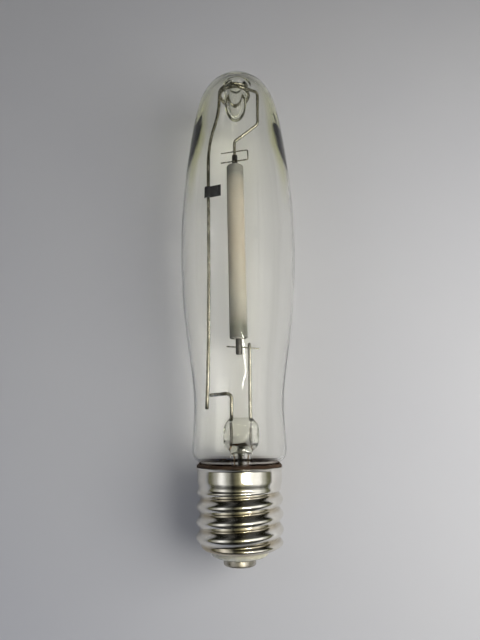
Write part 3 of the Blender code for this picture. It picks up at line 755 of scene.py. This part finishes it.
for vert in bm.verts:
    if vert.co.y > PINCHED[0] * MM:
        pinch = ease(*PINCHED, vert.co.y / MM)
        dent = noise.noise(Vector((vert.co.x, vert.co.y, 0)) * DENT_GRAIN)
        vert.co.z *= 1 + DENT_SHARE * pinch * dent
        vert.co.x += SWAY * MM * pinch * noise.noise(vert.co * SWAY_GRAIN + SWAY_SEED)
add_piece("stem", bm, stem_glass.mat, stands_for=["stem_press"])

# %% [markdown]
# The pump tube let the air out, and was drawn to a point inside the base when the lamp was
# sealed. It is a tube with one closed end, so one outline spun about its own axis makes it.

# %% Pump tube
bm = turned([
    (1.1, 49.15), (1.7, 49.2), (1.7, 24.4), (1.6, 22.8), (1.2, 21.3), (0.6, 19.8),
    (0.25, 19.25), (0.0, 19.2), (0.0, 22.0), (0.5, 22.6), (0.9, 23.6), (1.1, 25.2),
], 40)
bmesh.ops.translate(bm, vec=(STEM_X * MM, 0, 0), verts=bm.verts)
add_piece("pump_tube", bm, stem_glass.mat, stands_for=["exhaust_tube"])

# %% [markdown]
# ## Screw shell
#
# The shell is thin brass, spun and then rolled to the thread, and plated with nickel. Its
# wall is spun here as a smooth sheet, and each point is then moved out or in by the thread's
# wave, which runs round the shell as a helix. Solidify gives the wall its thickness after
# that. The brim carries a small rolled bead.

# %% Screw shell shape
PITCH = 6.35
ROOT_R = 17.8
FIRST_CREST = 9.4
THREAD_TOP = 33.2
BRIM, BRIM_R = 42.2, 20.1
SKIRT_R = 19.3
LIP_AT, LIP_R, TUCK = 7.0, 13.9, 3.6
SHELL_WALL = 0.45
CREST_FULLNESS = 0.8
SKIRT_STEP, SKIRT_RISE = 0.6, 3.5
RUN_OUT, RUN_OUT_EARLY = 2.2, 1.8
BEAD = 1.2
TUCK_ROWS, TUCK_CROWDING = 16, 1.6
ROW_STEP, MOST_ROWS = 0.26, 121
SLEEVE_R, SLEEVE_TAPER = 16.0, 0.001


def shell_radius(angle, along):
    """Radius of the shell's outside, in millimetres."""
    wave = math.cos(2 * math.pi * (along - FIRST_CREST) / PITCH + angle)
    swell = ((1 + wave) / 2) ** CREST_FULLNESS
    r = ROOT_R + (CREST_R - ROOT_R) * swell
    skirt = SKIRT_R - SKIRT_STEP * (1 - ease(0.0, SKIRT_RISE, along - THREAD_TOP))
    r += (skirt - r) * ease(0.0, RUN_OUT, along - THREAD_TOP + RUN_OUT_EARLY)
    start = (along - LIP_AT) / TUCK
    if start < 1:
        r = LIP_R + (r - LIP_R) * (1 - (1 - start) ** 2)
    return r + (BRIM_R - SKIRT_R) * ease(0.0, BEAD, along - BRIM + BEAD)


rows = [LIP_AT + TUCK * (k / TUCK_ROWS) ** TUCK_CROWDING for k in range(TUCK_ROWS)]
rows += [LIP_AT + TUCK + ROW_STEP * k for k in range(MOST_ROWS)]
rows = [s for s in rows if s < BRIM - 0.2] + [BRIM - 0.15, BRIM]
bm = turned([(SLEEVE_R + SLEEVE_TAPER * s, s) for s in rows], 144, closed=False)
for vert in bm.verts:
    angle = math.atan2(vert.co.z, vert.co.x)
    r = shell_radius(angle, vert.co.y / MM) * MM
    vert.co.x, vert.co.z = r * math.cos(angle), r * math.sin(angle)
bmesh.ops.recalc_face_normals(bm, faces=bm.faces)
outward = sum(f.normal.dot(Vector((f.calc_center_median().x, 0, f.calc_center_median().z)))
              for f in bm.faces)
if outward < 0:
    bmesh.ops.reverse_faces(bm, faces=bm.faces)
print("shell of", len(rows), "rows")

# %% [markdown]
# Nickel plate over brass is a warm grey mirror. Rolling leaves fine lines round the shell and
# slow dents that make its reflections wander. Down in the roots of the thread, its colour is
# painted darker and browner as painted shade.

# %% Nickel plate
ROOT_SHADE_FULL_R, ROOT_SHADE_ENDS_R = 17.7, 18.7

plate = Finish("nickel_plate", (0.72, 0.69, 0.62), 1.0, 0.12)
spread = plate.noise(150.0, detail=5)
parts_xyz = plate.node("SeparateXYZ")
plate.link(plate.coords.outputs["Object"], parts_xyz.inputs["Vector"])
flat_xz = plate.node("CombineXYZ")
plate.link(parts_xyz.outputs["X"], flat_xz.inputs["X"])
plate.link(parts_xyz.outputs["Z"], flat_xz.inputs["Z"])
reach = plate.node("VectorMath", operation="LENGTH")
plate.link(flat_xz.outputs[0], reach.inputs[0])
# Painted shade: the deeper part of the thread is painted a darker, browner colour than the
# crests.
depth = plate.remap(reach.outputs["Value"], ROOT_SHADE_FULL_R * MM, ROOT_SHADE_ENDS_R * MM, 0.0, 1.0)
crest_tone = plate.ramp(spread, [(0.35, (0.80, 0.77, 0.69)), (0.65, (0.90, 0.88, 0.82))])
dull = plate.ramp(spread, [(0.35, (0.46, 0.39, 0.27)), (0.65, (0.66, 0.60, 0.48))])
plate.paint(plate.mix(depth, dull, crest_tone))
wear = plate.noise(420.0, stretch=(1, 3, 1), detail=4)
plate.roughen(plate.remap(wear, 0.3, 0.75, 0.07, 0.19))
plate.relief(95.0, 0.00035, 0.35, detail=2)
plate.relief(240.0, 0.00006, 0.35, (1, 7, 1), 3)
shell = add_piece("screw_shell", bm, plate.mat,
                  stands_for=["screw_shell"], lift=0)
wall = shell.modifiers.new("wall", "SOLIDIFY")
wall.thickness = SHELL_WALL * MM
wall.offset = -1.0
wall.use_even_offset = True

# %% [markdown]
# ## Cement, insulator and contact
#
# A dark brown cement ring holds the glass in the shell. It was a paste, and it was squeezed
# out over the brim and a little way up the neck, so its free face is a rough collar: the ring
# is spun, and its points are then moved by a little noise.

# %% Cement
COLLAR_FROM, COLLAR_ROUGHNESS = 40.0, 0.2
LUMP_GRAIN, CRUMB_GRAIN, CRUMB_SHARE = 700, 2100, 0.5

cement = Finish("basing_cement", (0.085, 0.048, 0.024), 0.0, 0.8)
grit = cement.noise(1900.0, detail=6)
stain = cement.noise(260.0, detail=4)
cement.paint(cement.ramp(stain, [(0.3, (0.022, 0.012, 0.006)), (0.55, (0.055, 0.029, 0.014)),
                                 (0.75, (0.10, 0.058, 0.028))]))
cement.roughen(cement.remap(grit, 0.3, 0.7, 0.5, 0.95))
cement.bump(grit, 0.00012, 0.9)
crown = spline([(18.5, 40.9), (18.8, 41.6), (19.3, 42.25), (19.55, 42.7), (19.3, 43.2),
                (18.9, 43.6), (18.55, 43.55), (18.1, 42.9), (17.75, 42.0), (17.5, 40.2)], 5)
bm = turned([(17.36, 34.3), (18.0, 34.3), (18.45, 36.4), (18.5, 37.5)]
            + [(p.x, p.y) for p in crown], 160)
for vert in bm.verts:
    if vert.co.y > COLLAR_FROM * MM:
        lump = noise.noise(vert.co * LUMP_GRAIN)
        lump += CRUMB_SHARE * noise.noise(vert.co * CRUMB_GRAIN)
        vert.co.y += COLLAR_ROUGHNESS * lump * MM
add_piece("cement_ring", bm, cement.mat, stands_for=["basing_cement"],
          lift=0)

# %% [markdown]
# The insulator is ivory glass, poured round the contact, with a smooth sloping face. Light
# goes a little way into it, so its finish has a shallow subsurface glow, without which such a
# glass looks like paint.

# %% Ivory insulator
ivory = Finish("ivory_glass", (0.70, 0.66, 0.50), 0.0, 0.22)
ivory.mottle(170.0, [
    (0.30, (0.66, 0.63, 0.46)), (0.62, (0.74, 0.71, 0.56)), (0.8, (0.60, 0.54, 0.38))], 5)
ivory.set("Subsurface Weight", 0.25)
ivory.set("Subsurface Radius", (0.9, 0.7, 0.4))
ivory.set("Subsurface Scale", 0.001)
ivory.wander(500.0, 0.16, 0.36)
ivory.relief(260.0, 0.00012, 0.4, detail=3)
cone = spline([(7.7, 4.02), (9.2, 4.15), (11.2, 4.65), (12.4, 5.3), (12.95, 6.3),
               (13.1, 7.6)], 5)
bm = turned([(1.65, 4.0), (7.0, 4.0)] + [(p.x, p.y) for p in cone]
            + [(15.9, 10.8), (16.1, 11.1), (16.1, 13.0), (15.9, 13.2), (6.0, 14.1), (1.65, 14.1)],
            112)
add_piece("insulator", bm, ivory.mat,
          stands_for=["base_insulator"], lift=0)

# %% [markdown]
# The centre contact is a small tinned cup with a rolled edge, dulled by handling. The lead
# comes out through its middle under a low, wide drop of solder, which was filed flat.

# %% Contact and solder
DROP_EDGE, DROP_WOBBLE, DROP_GRAIN = (2.4, 4.2), 0.05, 900

tin = Finish("tinned_cup", (0.50, 0.475, 0.42), 1.0, 0.35)
tin.mottle(330.0, [
    (0.3, (0.36, 0.33, 0.27)), (0.55, (0.52, 0.49, 0.43)), (0.75, (0.62, 0.59, 0.53))], 5)
tin.wander(700.0, 0.24, 0.52)
tin.relief(600.0, 0.00004, 0.6, (1, 3, 1))
cup = spline([(5.9, 0.80), (6.6, 0.86), (7.05, 1.15), (7.2, 1.75), (7.2, 3.1), (7.12, 3.5),
              (6.85, 3.7)], 6)
bm = turned([(1.6, 0.80), (4.4, 0.80)] + [(p.x, p.y) for p in cup] + [(4.0, 3.7), (1.6, 3.7)],
            96)
add_piece("contact", bm, tin.mat, stands_for=["centre_contact"], lift=0)

solder = Finish("soft_solder", (0.50, 0.49, 0.47), 1.0, 0.4)
solder.mottle(520.0, [
    (0.32, (0.34, 0.33, 0.31)), (0.6, (0.52, 0.51, 0.48)), (0.8, (0.64, 0.63, 0.60))], 5)
solder.wander(900.0, 0.28, 0.6)
solder.relief(1100.0, 0.00005, 0.7)
drop = spline([(0.0, 0.0), (1.5, 0.0), (2.7, 0.015), (3.5, 0.13), (4.05, 0.33), (4.2, 0.5)], 5)
bm = turned([(max(p.x, 0.0), max(p.y, 0.0)) for p in drop] + [(0.0, 0.5)], 64, closed=False)
for vert in bm.verts:
    edge_share = ease(*DROP_EDGE, math.hypot(vert.co.x, vert.co.z) / MM)
    wobble = 1 + DROP_WOBBLE * edge_share * noise.noise(vert.co * DROP_GRAIN)
    vert.co.x *= wobble
    vert.co.z *= wobble
add_piece("contact_solder", bm, solder.mat, stands_for=["solder_button"], lift=0)

# %% [markdown]
# On the shell's hidden side, the side lead is brought out under the brim and soldered. That
# joint is a low lump which runs narrower towards the thread, as solder does when it flows. A
# lumpy ball is squeezed to its size, and then turned round the shell to its place.

# %% Side solder
JOINT_GRAIN, LUMP_SEED, LUMP_SHARE, NARROWING = 1.6, Vector((4, 1, 7)), 0.10, 0.25
JOINT_HALVES = (1.65, 2.05, 0.62)
JOINT_DEGREES, JOINT_BELOW_BRIM, JOINT_OUT = 215, 4.4, 0.18

bm = bmesh.new()
bmesh.ops.create_icosphere(bm, subdivisions=4, radius=1.0)
for vert in bm.verts:
    lump = noise.noise(vert.co * JOINT_GRAIN + LUMP_SEED)
    vert.co *= 1 + LUMP_SHARE * lump
    vert.co.x *= 1 - NARROWING * max(0.0, -vert.co.y)
size = Matrix.Diagonal((*(half * MM for half in JOINT_HALVES), 1.0))
side = Matrix.Rotation(math.radians(JOINT_DEGREES), 4, "Y")
joint_at = Matrix.Translation((0, (BRIM - JOINT_BELOW_BRIM) * MM, 0)) @ side
out = Matrix.Translation((0, 0, (SKIRT_R + JOINT_OUT) * MM))
bmesh.ops.transform(bm, matrix=joint_at @ out @ size, verts=bm.verts)
add_piece("side_joint", tidy_mesh(bm), solder.mat, stands_for=["side_solder"],
          lift=0)

# %% [markdown]
# ## Wires of the mount
#
# The mount is bent from nickel-plated iron wire. Drawing leaves fine lines along the wire,
# and the heat of sealing left it olive-grey. The frame rod runs up the left side, and its
# top is wound round the glass nipple.

# %% Wire finish
wire = Finish("nickel_wire", (0.36, 0.34, 0.29), 1.0, 0.26)
wire.mottle(240.0, [
    (0.3, (0.20, 0.19, 0.145)), (0.55, (0.30, 0.285, 0.23)), (0.78, (0.42, 0.40, 0.34))])
wire.wander(800.0, 0.16, 0.36, (1, 0.2, 1), 3)
wire.relief(2600.0, 0.00002, 0.5, (1, 0.06, 1), 3)
print("wire:", wire.mat.name)

# %% [markdown]
# The rod's path is a list of the places where the wire was bent by hand. The coil at its top
# is a helix, worked out step by step, and a short flowing curve joins the two.

# %% Frame rod and coil
ROD_R = 0.85
COIL_X, COIL_R, COIL_FROM, COIL_RISE = -1.6, 8.0, 232.9, 2.15
COIL_DEGREES, COIL_STEP = 510, 5
straight = bent([(-15.1, 67.1, 0), (-14.75, 78.0, 0), (-14.5, 100.0, 0), (-14.6, 135.0, 0),
                 (-14.9, 165.0, 0), (-15.3, 199.0, 0), (-14.7, 211.0, 0),
                 (-11.0, 223.5, 0), (-9.9, 229.0, 0)], 5.0, 8)
coil = []
for degrees in range(0, COIL_DEGREES + 1, COIL_STEP):
    a = math.radians(180 - degrees)
    along = COIL_FROM + COIL_RISE * degrees / 360
    coil.append(Vector((COIL_X + COIL_R * math.cos(a), along, COIL_R * math.sin(a))))
run = spline(straight[-2:] + coil[:3], 3)
bm = drawn(straight[:-2] + run + coil[3:], ROD_R, 20)
add_piece("frame_rod", bm, wire.mat, stands_for=["frame_rod"])

# %% [markdown]
# The left lead comes out of the press, turns across and is welded to the frame rod. The
# right lead runs straight up to the foot of the arc tube, where a thin cross wire joins it to
# the lower niobium tube.

# %% Leads
PRESS_TOP = 61.1
LEFT_X, RIGHT_X = -3.5, 5.3
CROSS_R = 0.35

left = bent([(LEFT_X, PRESS_TOP, 0), (LEFT_X, 74.6, 0), (-13.9, 73.6, 0)], 3.0, 10)
bm = drawn(left, ROD_R, 20, 0.5)
add_piece("left_lead", bm, wire.mat, stands_for=["lead_rod_left"])
right = [(RIGHT_X, PRESS_TOP + 2.0 * k, 0) for k in range(18)] + [(5.2, 98.6, 0)]
bm = drawn(right, ROD_R, 20, 0.5)
add_piece("right_lead", bm, wire.mat, stands_for=["lead_rod_right"])

bm = drawn(bent([(-5.9, 97.4, -2.95), (2.0, 96.7, -2.0), (10.3, 95.9, -1.0)], 1.0, 4),
           CROSS_R, 14, 0.4)
add_piece("cross_wire", bm, wire.mat, stands_for=["lower_cross_wire"])

# %% [markdown]
# The arc tube hangs from an arm, which is welded to the coil and steps across and down into
# the open end of the upper niobium tube. That fit is loose, so that the tube can grow, and a
# thin hairpin of strap carries the current past it.

# %% Hanger arm and strap
ARM_R, STRAP_R = 0.80, 0.33
AXIS_LOW = Vector((0.2, 94.0, 0.0))
AXIS_HIGH = Vector((-1.4, 200.0, 0.0))
lean = (AXIS_HIGH - AXIS_LOW).normalized()


def tube_axis(along):
    """A point on the arc tube's axis, at this distance along the lamp."""
    return AXIS_LOW + lean * ((along - AXIS_LOW.y) / lean.y)


arm = bent([(-2.6, 232.5, 9.95), (2.8, 231.6, 9.45), (10.9, 233.5, 3.2), (11.6, 217.9, 1.4),
            tube_axis(208.0), tube_axis(194.6)], 1.6, 8)
bm = drawn(arm, ARM_R, 18, 0.5)
add_piece("hanger_arm", bm, wire.mat, stands_for=["hanger_arm"])
strap = bent([(-8.7, 199.0, 1.5), (5.5, 201.2, 1.75), (5.6, 195.0, 2.25), (-8.6, 192.9, 2.25)],
             0.9, 8)
bm = drawn(strap, STRAP_R, 14, 0.4)
add_piece("strap", bm, wire.mat, stands_for=["flexible_strap"])

# %% [markdown]
# ## Wires in the press and in the base
#
# Where the leads pass through the pressed glass they are tungsten, which grows with heat as
# the hard glass does. Below the press, copper wires carry on to the shell and the contact.

# %% Tungsten and copper
SEAL_R, SEAL_FROM, SEAL_STEP = 0.6, 50.5, 2.06
LEAD_R = 0.4

tungsten = Finish("tungsten", (0.16, 0.155, 0.15), 1.0, 0.4)
tungsten.mottle(700.0, [(0.3, (0.10, 0.095, 0.09)), (0.7, (0.22, 0.21, 0.195))])
tungsten.relief(3000.0, 0.00001, 0.5, (1, 0.1, 1), 3)
copper = Finish("copper_wire", (0.20, 0.14, 0.09), 1.0, 0.4)
copper.mottle(420.0, [(0.3, (0.12, 0.085, 0.055)), (0.7, (0.28, 0.19, 0.12))])
copper.relief(2400.0, 0.00001, 0.5, (1, 0.1, 1), 3)

for side_name, x in (("left", LEFT_X), ("right", RIGHT_X)):
    bm = drawn([(x, SEAL_FROM + SEAL_STEP * k, 0) for k in range(6)], SEAL_R, 16, 0.3)
    add_piece("seal_wire_" + side_name, bm, tungsten.mat,
              stands_for=["seal_wire_" + side_name])
to_shell = bent([(LEFT_X, 50.2, 0), (LEFT_X, 48.8, 0), (-2.35, 45.6, 0), (-2.35, 30.0, 0),
                 (-12.0, 27.0, -2.0), (-16.0, 28.5, -3.0)], 2.0, 6)
add_piece("side_lead", drawn(to_shell, LEAD_R, 12), copper.mat,
          stands_for=["side_lead_wire"])
to_contact = bent([(RIGHT_X, 50.2, 0), (RIGHT_X, 48.8, 0), (4.15, 45.6, 0), (4.15, 22.0, 0),
                   (0, 14.9, 0), (0, 0.1, 0)], 2.0, 6)
add_piece("centre_lead", drawn(to_contact, LEAD_R, 12), copper.mat,
          stands_for=["centre_lead_wire"])

# %% [markdown]
# ## Getter
#
# A strip of getter metal, which soaks up stray gas, is hooked over the frame rod and stands
# off towards the arc tube. It is nearly black, with a matt grain. Its bent line is extruded
# to the strip's width, and Solidify and Bevel finish its edges.

# %% Getter flag
FLAG_AT, FLAG_WIDTH, FLAG_STEPS = 174.2, 6.2, 8
FLAG_GAUGE, FLAG_EDGE = 0.35, 0.06

getter = Finish("getter_metal", (0.03, 0.03, 0.033), 0.7, 0.45)
getter.mottle(900.0, [
    (0.3, (0.016, 0.016, 0.019)), (0.62, (0.040, 0.040, 0.043)), (0.82, (0.10, 0.10, 0.10))], 5)
getter.wander(1500.0, 0.3, 0.6)
getter.relief(2400.0, 0.00003, 0.7)
bend = spline([(-17.0, 0.35), (-16.4, 1.05), (-15.6, 1.5), (-14.8, 1.55), (-14.0, 1.35),
               (-13.2, 1.5), (-11.0, 2.4), (-8.5, 3.4)], 4)
bm = bmesh.new()
verts = [bm.verts.new((p.x * MM, FLAG_AT * MM, p.y * MM)) for p in bend]
edges = [bm.edges.new(pair) for pair in zip(verts, verts[1:])]
for _ in range(FLAG_STEPS):
    out = bmesh.ops.extrude_edge_only(bm, edges=edges)["geom"]
    edges = [g for g in out if isinstance(g, bmesh.types.BMEdge)]
    edges = [e for e in edges if abs(e.verts[0].co.y - e.verts[1].co.y) < TOO_SHORT]
    moved = [g for g in out if isinstance(g, bmesh.types.BMVert)]
    bmesh.ops.translate(bm, vec=(0, FLAG_WIDTH * MM / FLAG_STEPS, 0), verts=moved)
bmesh.ops.recalc_face_normals(bm, faces=bm.faces)
flag = add_piece("getter", bm, getter.mat, stands_for=["getter_flag"])
gauge = flag.modifiers.new("gauge", "SOLIDIFY")
gauge.thickness = FLAG_GAUGE * MM
gauge.offset = 0.0
gauge.use_even_offset = True
soften = flag.modifiers.new("soften", "BEVEL")
soften.width = FLAG_EDGE * MM
soften.segments = 2
soften.limit_method = "ANGLE"

# %% [markdown]
# ## Arc tube
#
# The arc tube is sintered alumina, which passes light but not an image: cream, a little pink in
# the middle, and grey near its ends. That grey is partly metal from the electrodes that has
# settled there, and partly painted shade, where the plugs, niobium tubes and electrodes inside
# darken the wall. It is closed by a plug at each end, and a niobium tube comes out through each
# plug in a ring of sealing glass. All of it hangs together, leans a little, and slides as one
# when it is hot.

# %% Arc tube placement
lean_turn = math.atan2(-lean.x, lean.y)
ARC_PLACE = Matrix.Translation(AXIS_LOW * MM) @ Matrix.Rotation(lean_turn, 4, "Z")
BASE = AXIS_LOW.y


def arc_piece(name, bm, finish, slot, *nodes):
    """Set a piece that was made about the Y axis on to the arc tube's leaning axis."""
    bmesh.ops.transform(bm, matrix=ARC_PLACE, verts=bm.verts)
    return add_piece(name, bm, finish.mat, MOVING, nodes)


def on_axis(outline):
    """Count an outline's places along the lamp from the foot of the arc tube's axis."""
    return [(r, s - BASE) for r, s in outline]


print("arc tube leans", round(math.degrees(lean_turn), 2), "degrees")

# %% [markdown]
# The tube itself is a plain spun sleeve with eased edges. Its colour is a ramp along its length,
# moved a little by noise so that no tone ends in a ruled line. The ramp's dark ends are partly
# settled metal and partly painted shade. Light scatters inside the ceramic, which half of its
# colour is given to as subsurface glow.

# %% Arc tube
ARC_LOW, ARC_HIGH = 101.0, 191.9
BORE_R, TUBE_R = 3.65, 4.4
EDGE, EDGE_BULGE = 0.25, 0.07
BAND_STEP, BANDS = 4.52, 20
TONE_SHIFT = 0.012

alumina = Finish("sintered_alumina", (0.62, 0.56, 0.46), 0.0, 0.5)
place = alumina.remap(alumina.along(), (ARC_LOW + DATUM) * MM, (ARC_HIGH + DATUM) * MM, 0.0, 1.0)
cloud = alumina.noise(300.0, stretch=(1, 0.4, 1), detail=5)
shift = alumina.remap(cloud, 0.2, 0.8, -TONE_SHIFT, TONE_SHIFT)
# Painted shade together with settled metal: the stops at both ends are dark grey, where the
# plugs, niobium tubes and electrodes inside darken the wall.
tones_and_end_shade = alumina.ramp(alumina.maths("ADD", place, shift), [
    (0.0, (0.150, 0.148, 0.128)), (0.055, (0.146, 0.148, 0.120)), (0.07, (0.19, 0.187, 0.155)),
    (0.12, (0.275, 0.265, 0.225)), (0.22, (0.365, 0.347, 0.290)), (0.50, (0.39, 0.350, 0.282)),
    (0.78, (0.372, 0.338, 0.276)), (0.90, (0.30, 0.283, 0.235)), (0.94, (0.22, 0.218, 0.19)),
    (0.95, (0.185, 0.183, 0.163)), (1.0, (0.195, 0.193, 0.172))])
mottle = alumina.ramp(cloud, [(0.3, 0.93), (0.7, 1.0)])
alumina.paint(alumina.mix(1.0, tones_and_end_shade, mottle, "MULTIPLY"))
alumina.set("Subsurface Weight", 0.5)
alumina.set("Subsurface Radius", (1.0, 0.9, 0.8))
alumina.set("Subsurface Scale", 0.003)
alumina.set("Specular IOR Level", 0.25)
alumina.roughen(alumina.remap(cloud, *MOST_OF_NOISE, 0.34, 0.5))
alumina.relief(1600.0, 0.00002, 0.5)
foot = [(TUBE_R - EDGE, ARC_LOW), (TUBE_R - EDGE_BULGE, ARC_LOW + EDGE_BULGE),
        (TUBE_R, ARC_LOW + EDGE)]
head = [(TUBE_R, ARC_HIGH - EDGE), (TUBE_R - EDGE_BULGE, ARC_HIGH - EDGE_BULGE),
        (TUBE_R - EDGE, ARC_HIGH)]
bands = [(TUBE_R, ARC_LOW + EDGE + k * BAND_STEP) for k in range(1, BANDS)]
bm = turned(on_axis([(BORE_R, ARC_LOW)] + foot + bands + head + [(BORE_R, ARC_HIGH)]), 72)
arc_piece("arc_tube", bm, alumina, "polycrystalline_alumina", "arc_tube")

# %% [markdown]
# Each end is closed in the same way, so one loop makes both: a ceramic plug set a little way
# in, and a fillet of sealing glass where the niobium tube passes through it. Both are rings,
# spun from a short outline. The two niobium tubes differ, because the lower one is pinched
# shut and the upper one is open to take the hanger arm.

# %% Plugs, sealing glass and niobium
SET_IN, PLUG_LENGTH = 0.6, 3.4
HOLE_R, PLUG_R, PLUG_EDGE = 1.8, 3.35, 0.15
FILLET = [(2.9, 0.3), (2.55, 0.5), (2.25, 0.8), (2.15, 1.1)]

plug = Finish("alumina_plug", (0.60, 0.58, 0.53), 0.0, 0.6)
plug.mottle(500.0, [(0.3, (0.48, 0.46, 0.41)), (0.7, (0.64, 0.62, 0.57))])
plug.relief(1800.0, 0.00003, 0.5)
frit = Finish("sealing_glass", (0.36, 0.34, 0.30), 0.0, 0.3)
frit.mottle(700.0, [(0.3, (0.26, 0.245, 0.21)), (0.7, (0.46, 0.44, 0.39))])
frit.relief(900.0, 0.00006, 0.5, detail=3)
niobium = Finish("niobium", (0.085, 0.083, 0.080), 1.0, 0.42)
niobium.mottle(450.0, [
    (0.3, (0.055, 0.053, 0.050)), (0.6, (0.11, 0.105, 0.10)), (0.8, (0.19, 0.18, 0.165))], 5)
niobium.wander(900.0, 0.3, 0.55)
niobium.relief(1700.0, 0.00002, 0.6, (1, 0.2, 1))

for end_name, face, way_in in (("lower", ARC_LOW + SET_IN, 1), ("upper", ARC_HIGH - SET_IN, -1)):
    far = face + way_in * PLUG_LENGTH
    ring = [(HOLE_R, face), (PLUG_R - PLUG_EDGE, face), (PLUG_R, face + way_in * PLUG_EDGE),
            (PLUG_R, far), (HOLE_R, far)]
    arc_piece("plug_" + end_name, turned(on_axis(ring), 48), plug, "alumina_plug",
              "end_plug_" + end_name)
    slope_down = spline([(r, face - way_in * out) for r, out in FILLET], 4)
    fillet = [(HOLE_R, face - way_in * FILLET[0][1])] + [(p.x, p.y) for p in slope_down]
    fillet.append((HOLE_R, face - way_in * FILLET[-1][1]))
    arc_piece("seal_" + end_name, turned(on_axis(fillet), 48), frit, "sealing_frit",
              "frit_seal_" + end_name)

pinch = [(0.0, 93.0), (1.15, 93.02), (1.38, 93.1), (1.48, 93.3), (1.5, 93.6)]
low_tube = pinch + [(1.5, 105.65), (1.42, 105.8), (1.05, 105.8), (1.05, 95.7), (0.8, 95.3),
                    (0.0, 95.1)]
arc_piece("niobium_lower", turned(on_axis(low_tube), 48, closed=False), niobium, "niobium",
          "niobium_tube_lower")
high_tube = [(0.0, 187.1), (1.3, 187.1), (1.5, 187.3), (1.5, 198.4), (1.4, 198.6),
             (1.15, 198.6), (1.05, 198.5), (1.05, 188.6), (0.0, 188.3)]
arc_piece("niobium_upper", turned(on_axis(high_tube), 48, closed=False), niobium, "niobium",
          "niobium_tube_upper")

# %% [markdown]
# Inside, each electrode is a tungsten rod with a short coil wound near its tip, and a bead
# of sodium amalgam sits in the cooler, lower niobium tube. None of it is easily seen.

# %% Electrodes and amalgam
ELECTRODE_R, WINDING_R, WINDING_WIRE_R = 0.45, 1.05, 0.28
TURNS, TURN_STEP, TURN_PITCH, BARE_TIP = 4, 15, 0.72, 1.0
BEAD_R, BEAD_AT = 0.7, 97.2

for end_name, root, tip, way_in in (("lower", 105.4, 114.5, 1), ("upper", 186.7, 178.4, -1)):
    rod_path = [(0, root - BASE + (tip - root) * k / 4, 0) for k in range(5)]
    arc_piece("electrode_" + end_name, drawn(rod_path, ELECTRODE_R, 16, 0.5), tungsten,
              "tungsten", "electrode_" + end_name)
    turns = []
    for degrees in range(0, TURNS * 360 + 1, TURN_STEP):
        a = math.radians(degrees)
        along = tip - way_in * (BARE_TIP + TURN_PITCH * degrees / 360) - BASE
        turns.append((WINDING_R * math.cos(a), along, WINDING_R * math.sin(a)))
    arc_piece("winding_" + end_name, drawn(turns, WINDING_WIRE_R, 10, 0.4), tungsten,
              "tungsten", "winding_" + end_name)
amalgam = Finish("sodium_amalgam", (0.55, 0.55, 0.57), 1.0, 0.25)
amalgam.mottle(1500.0, [(0.3, (0.42, 0.42, 0.44)), (0.7, (0.62, 0.62, 0.64))])
amalgam.relief(1500.0, 0.00002, 0.4, detail=3)
bead = [(BEAD_R * math.sin(math.radians(a)), BEAD_AT - BEAD_R * math.cos(math.radians(a)))
        for a in range(0, 181, 12)]
bm = turned(on_axis([(max(r, 0.0), s) for r, s in bead]), 24, closed=False)
arc_piece("amalgam", bm, amalgam, "sodium_amalgam", "amalgam_bead")
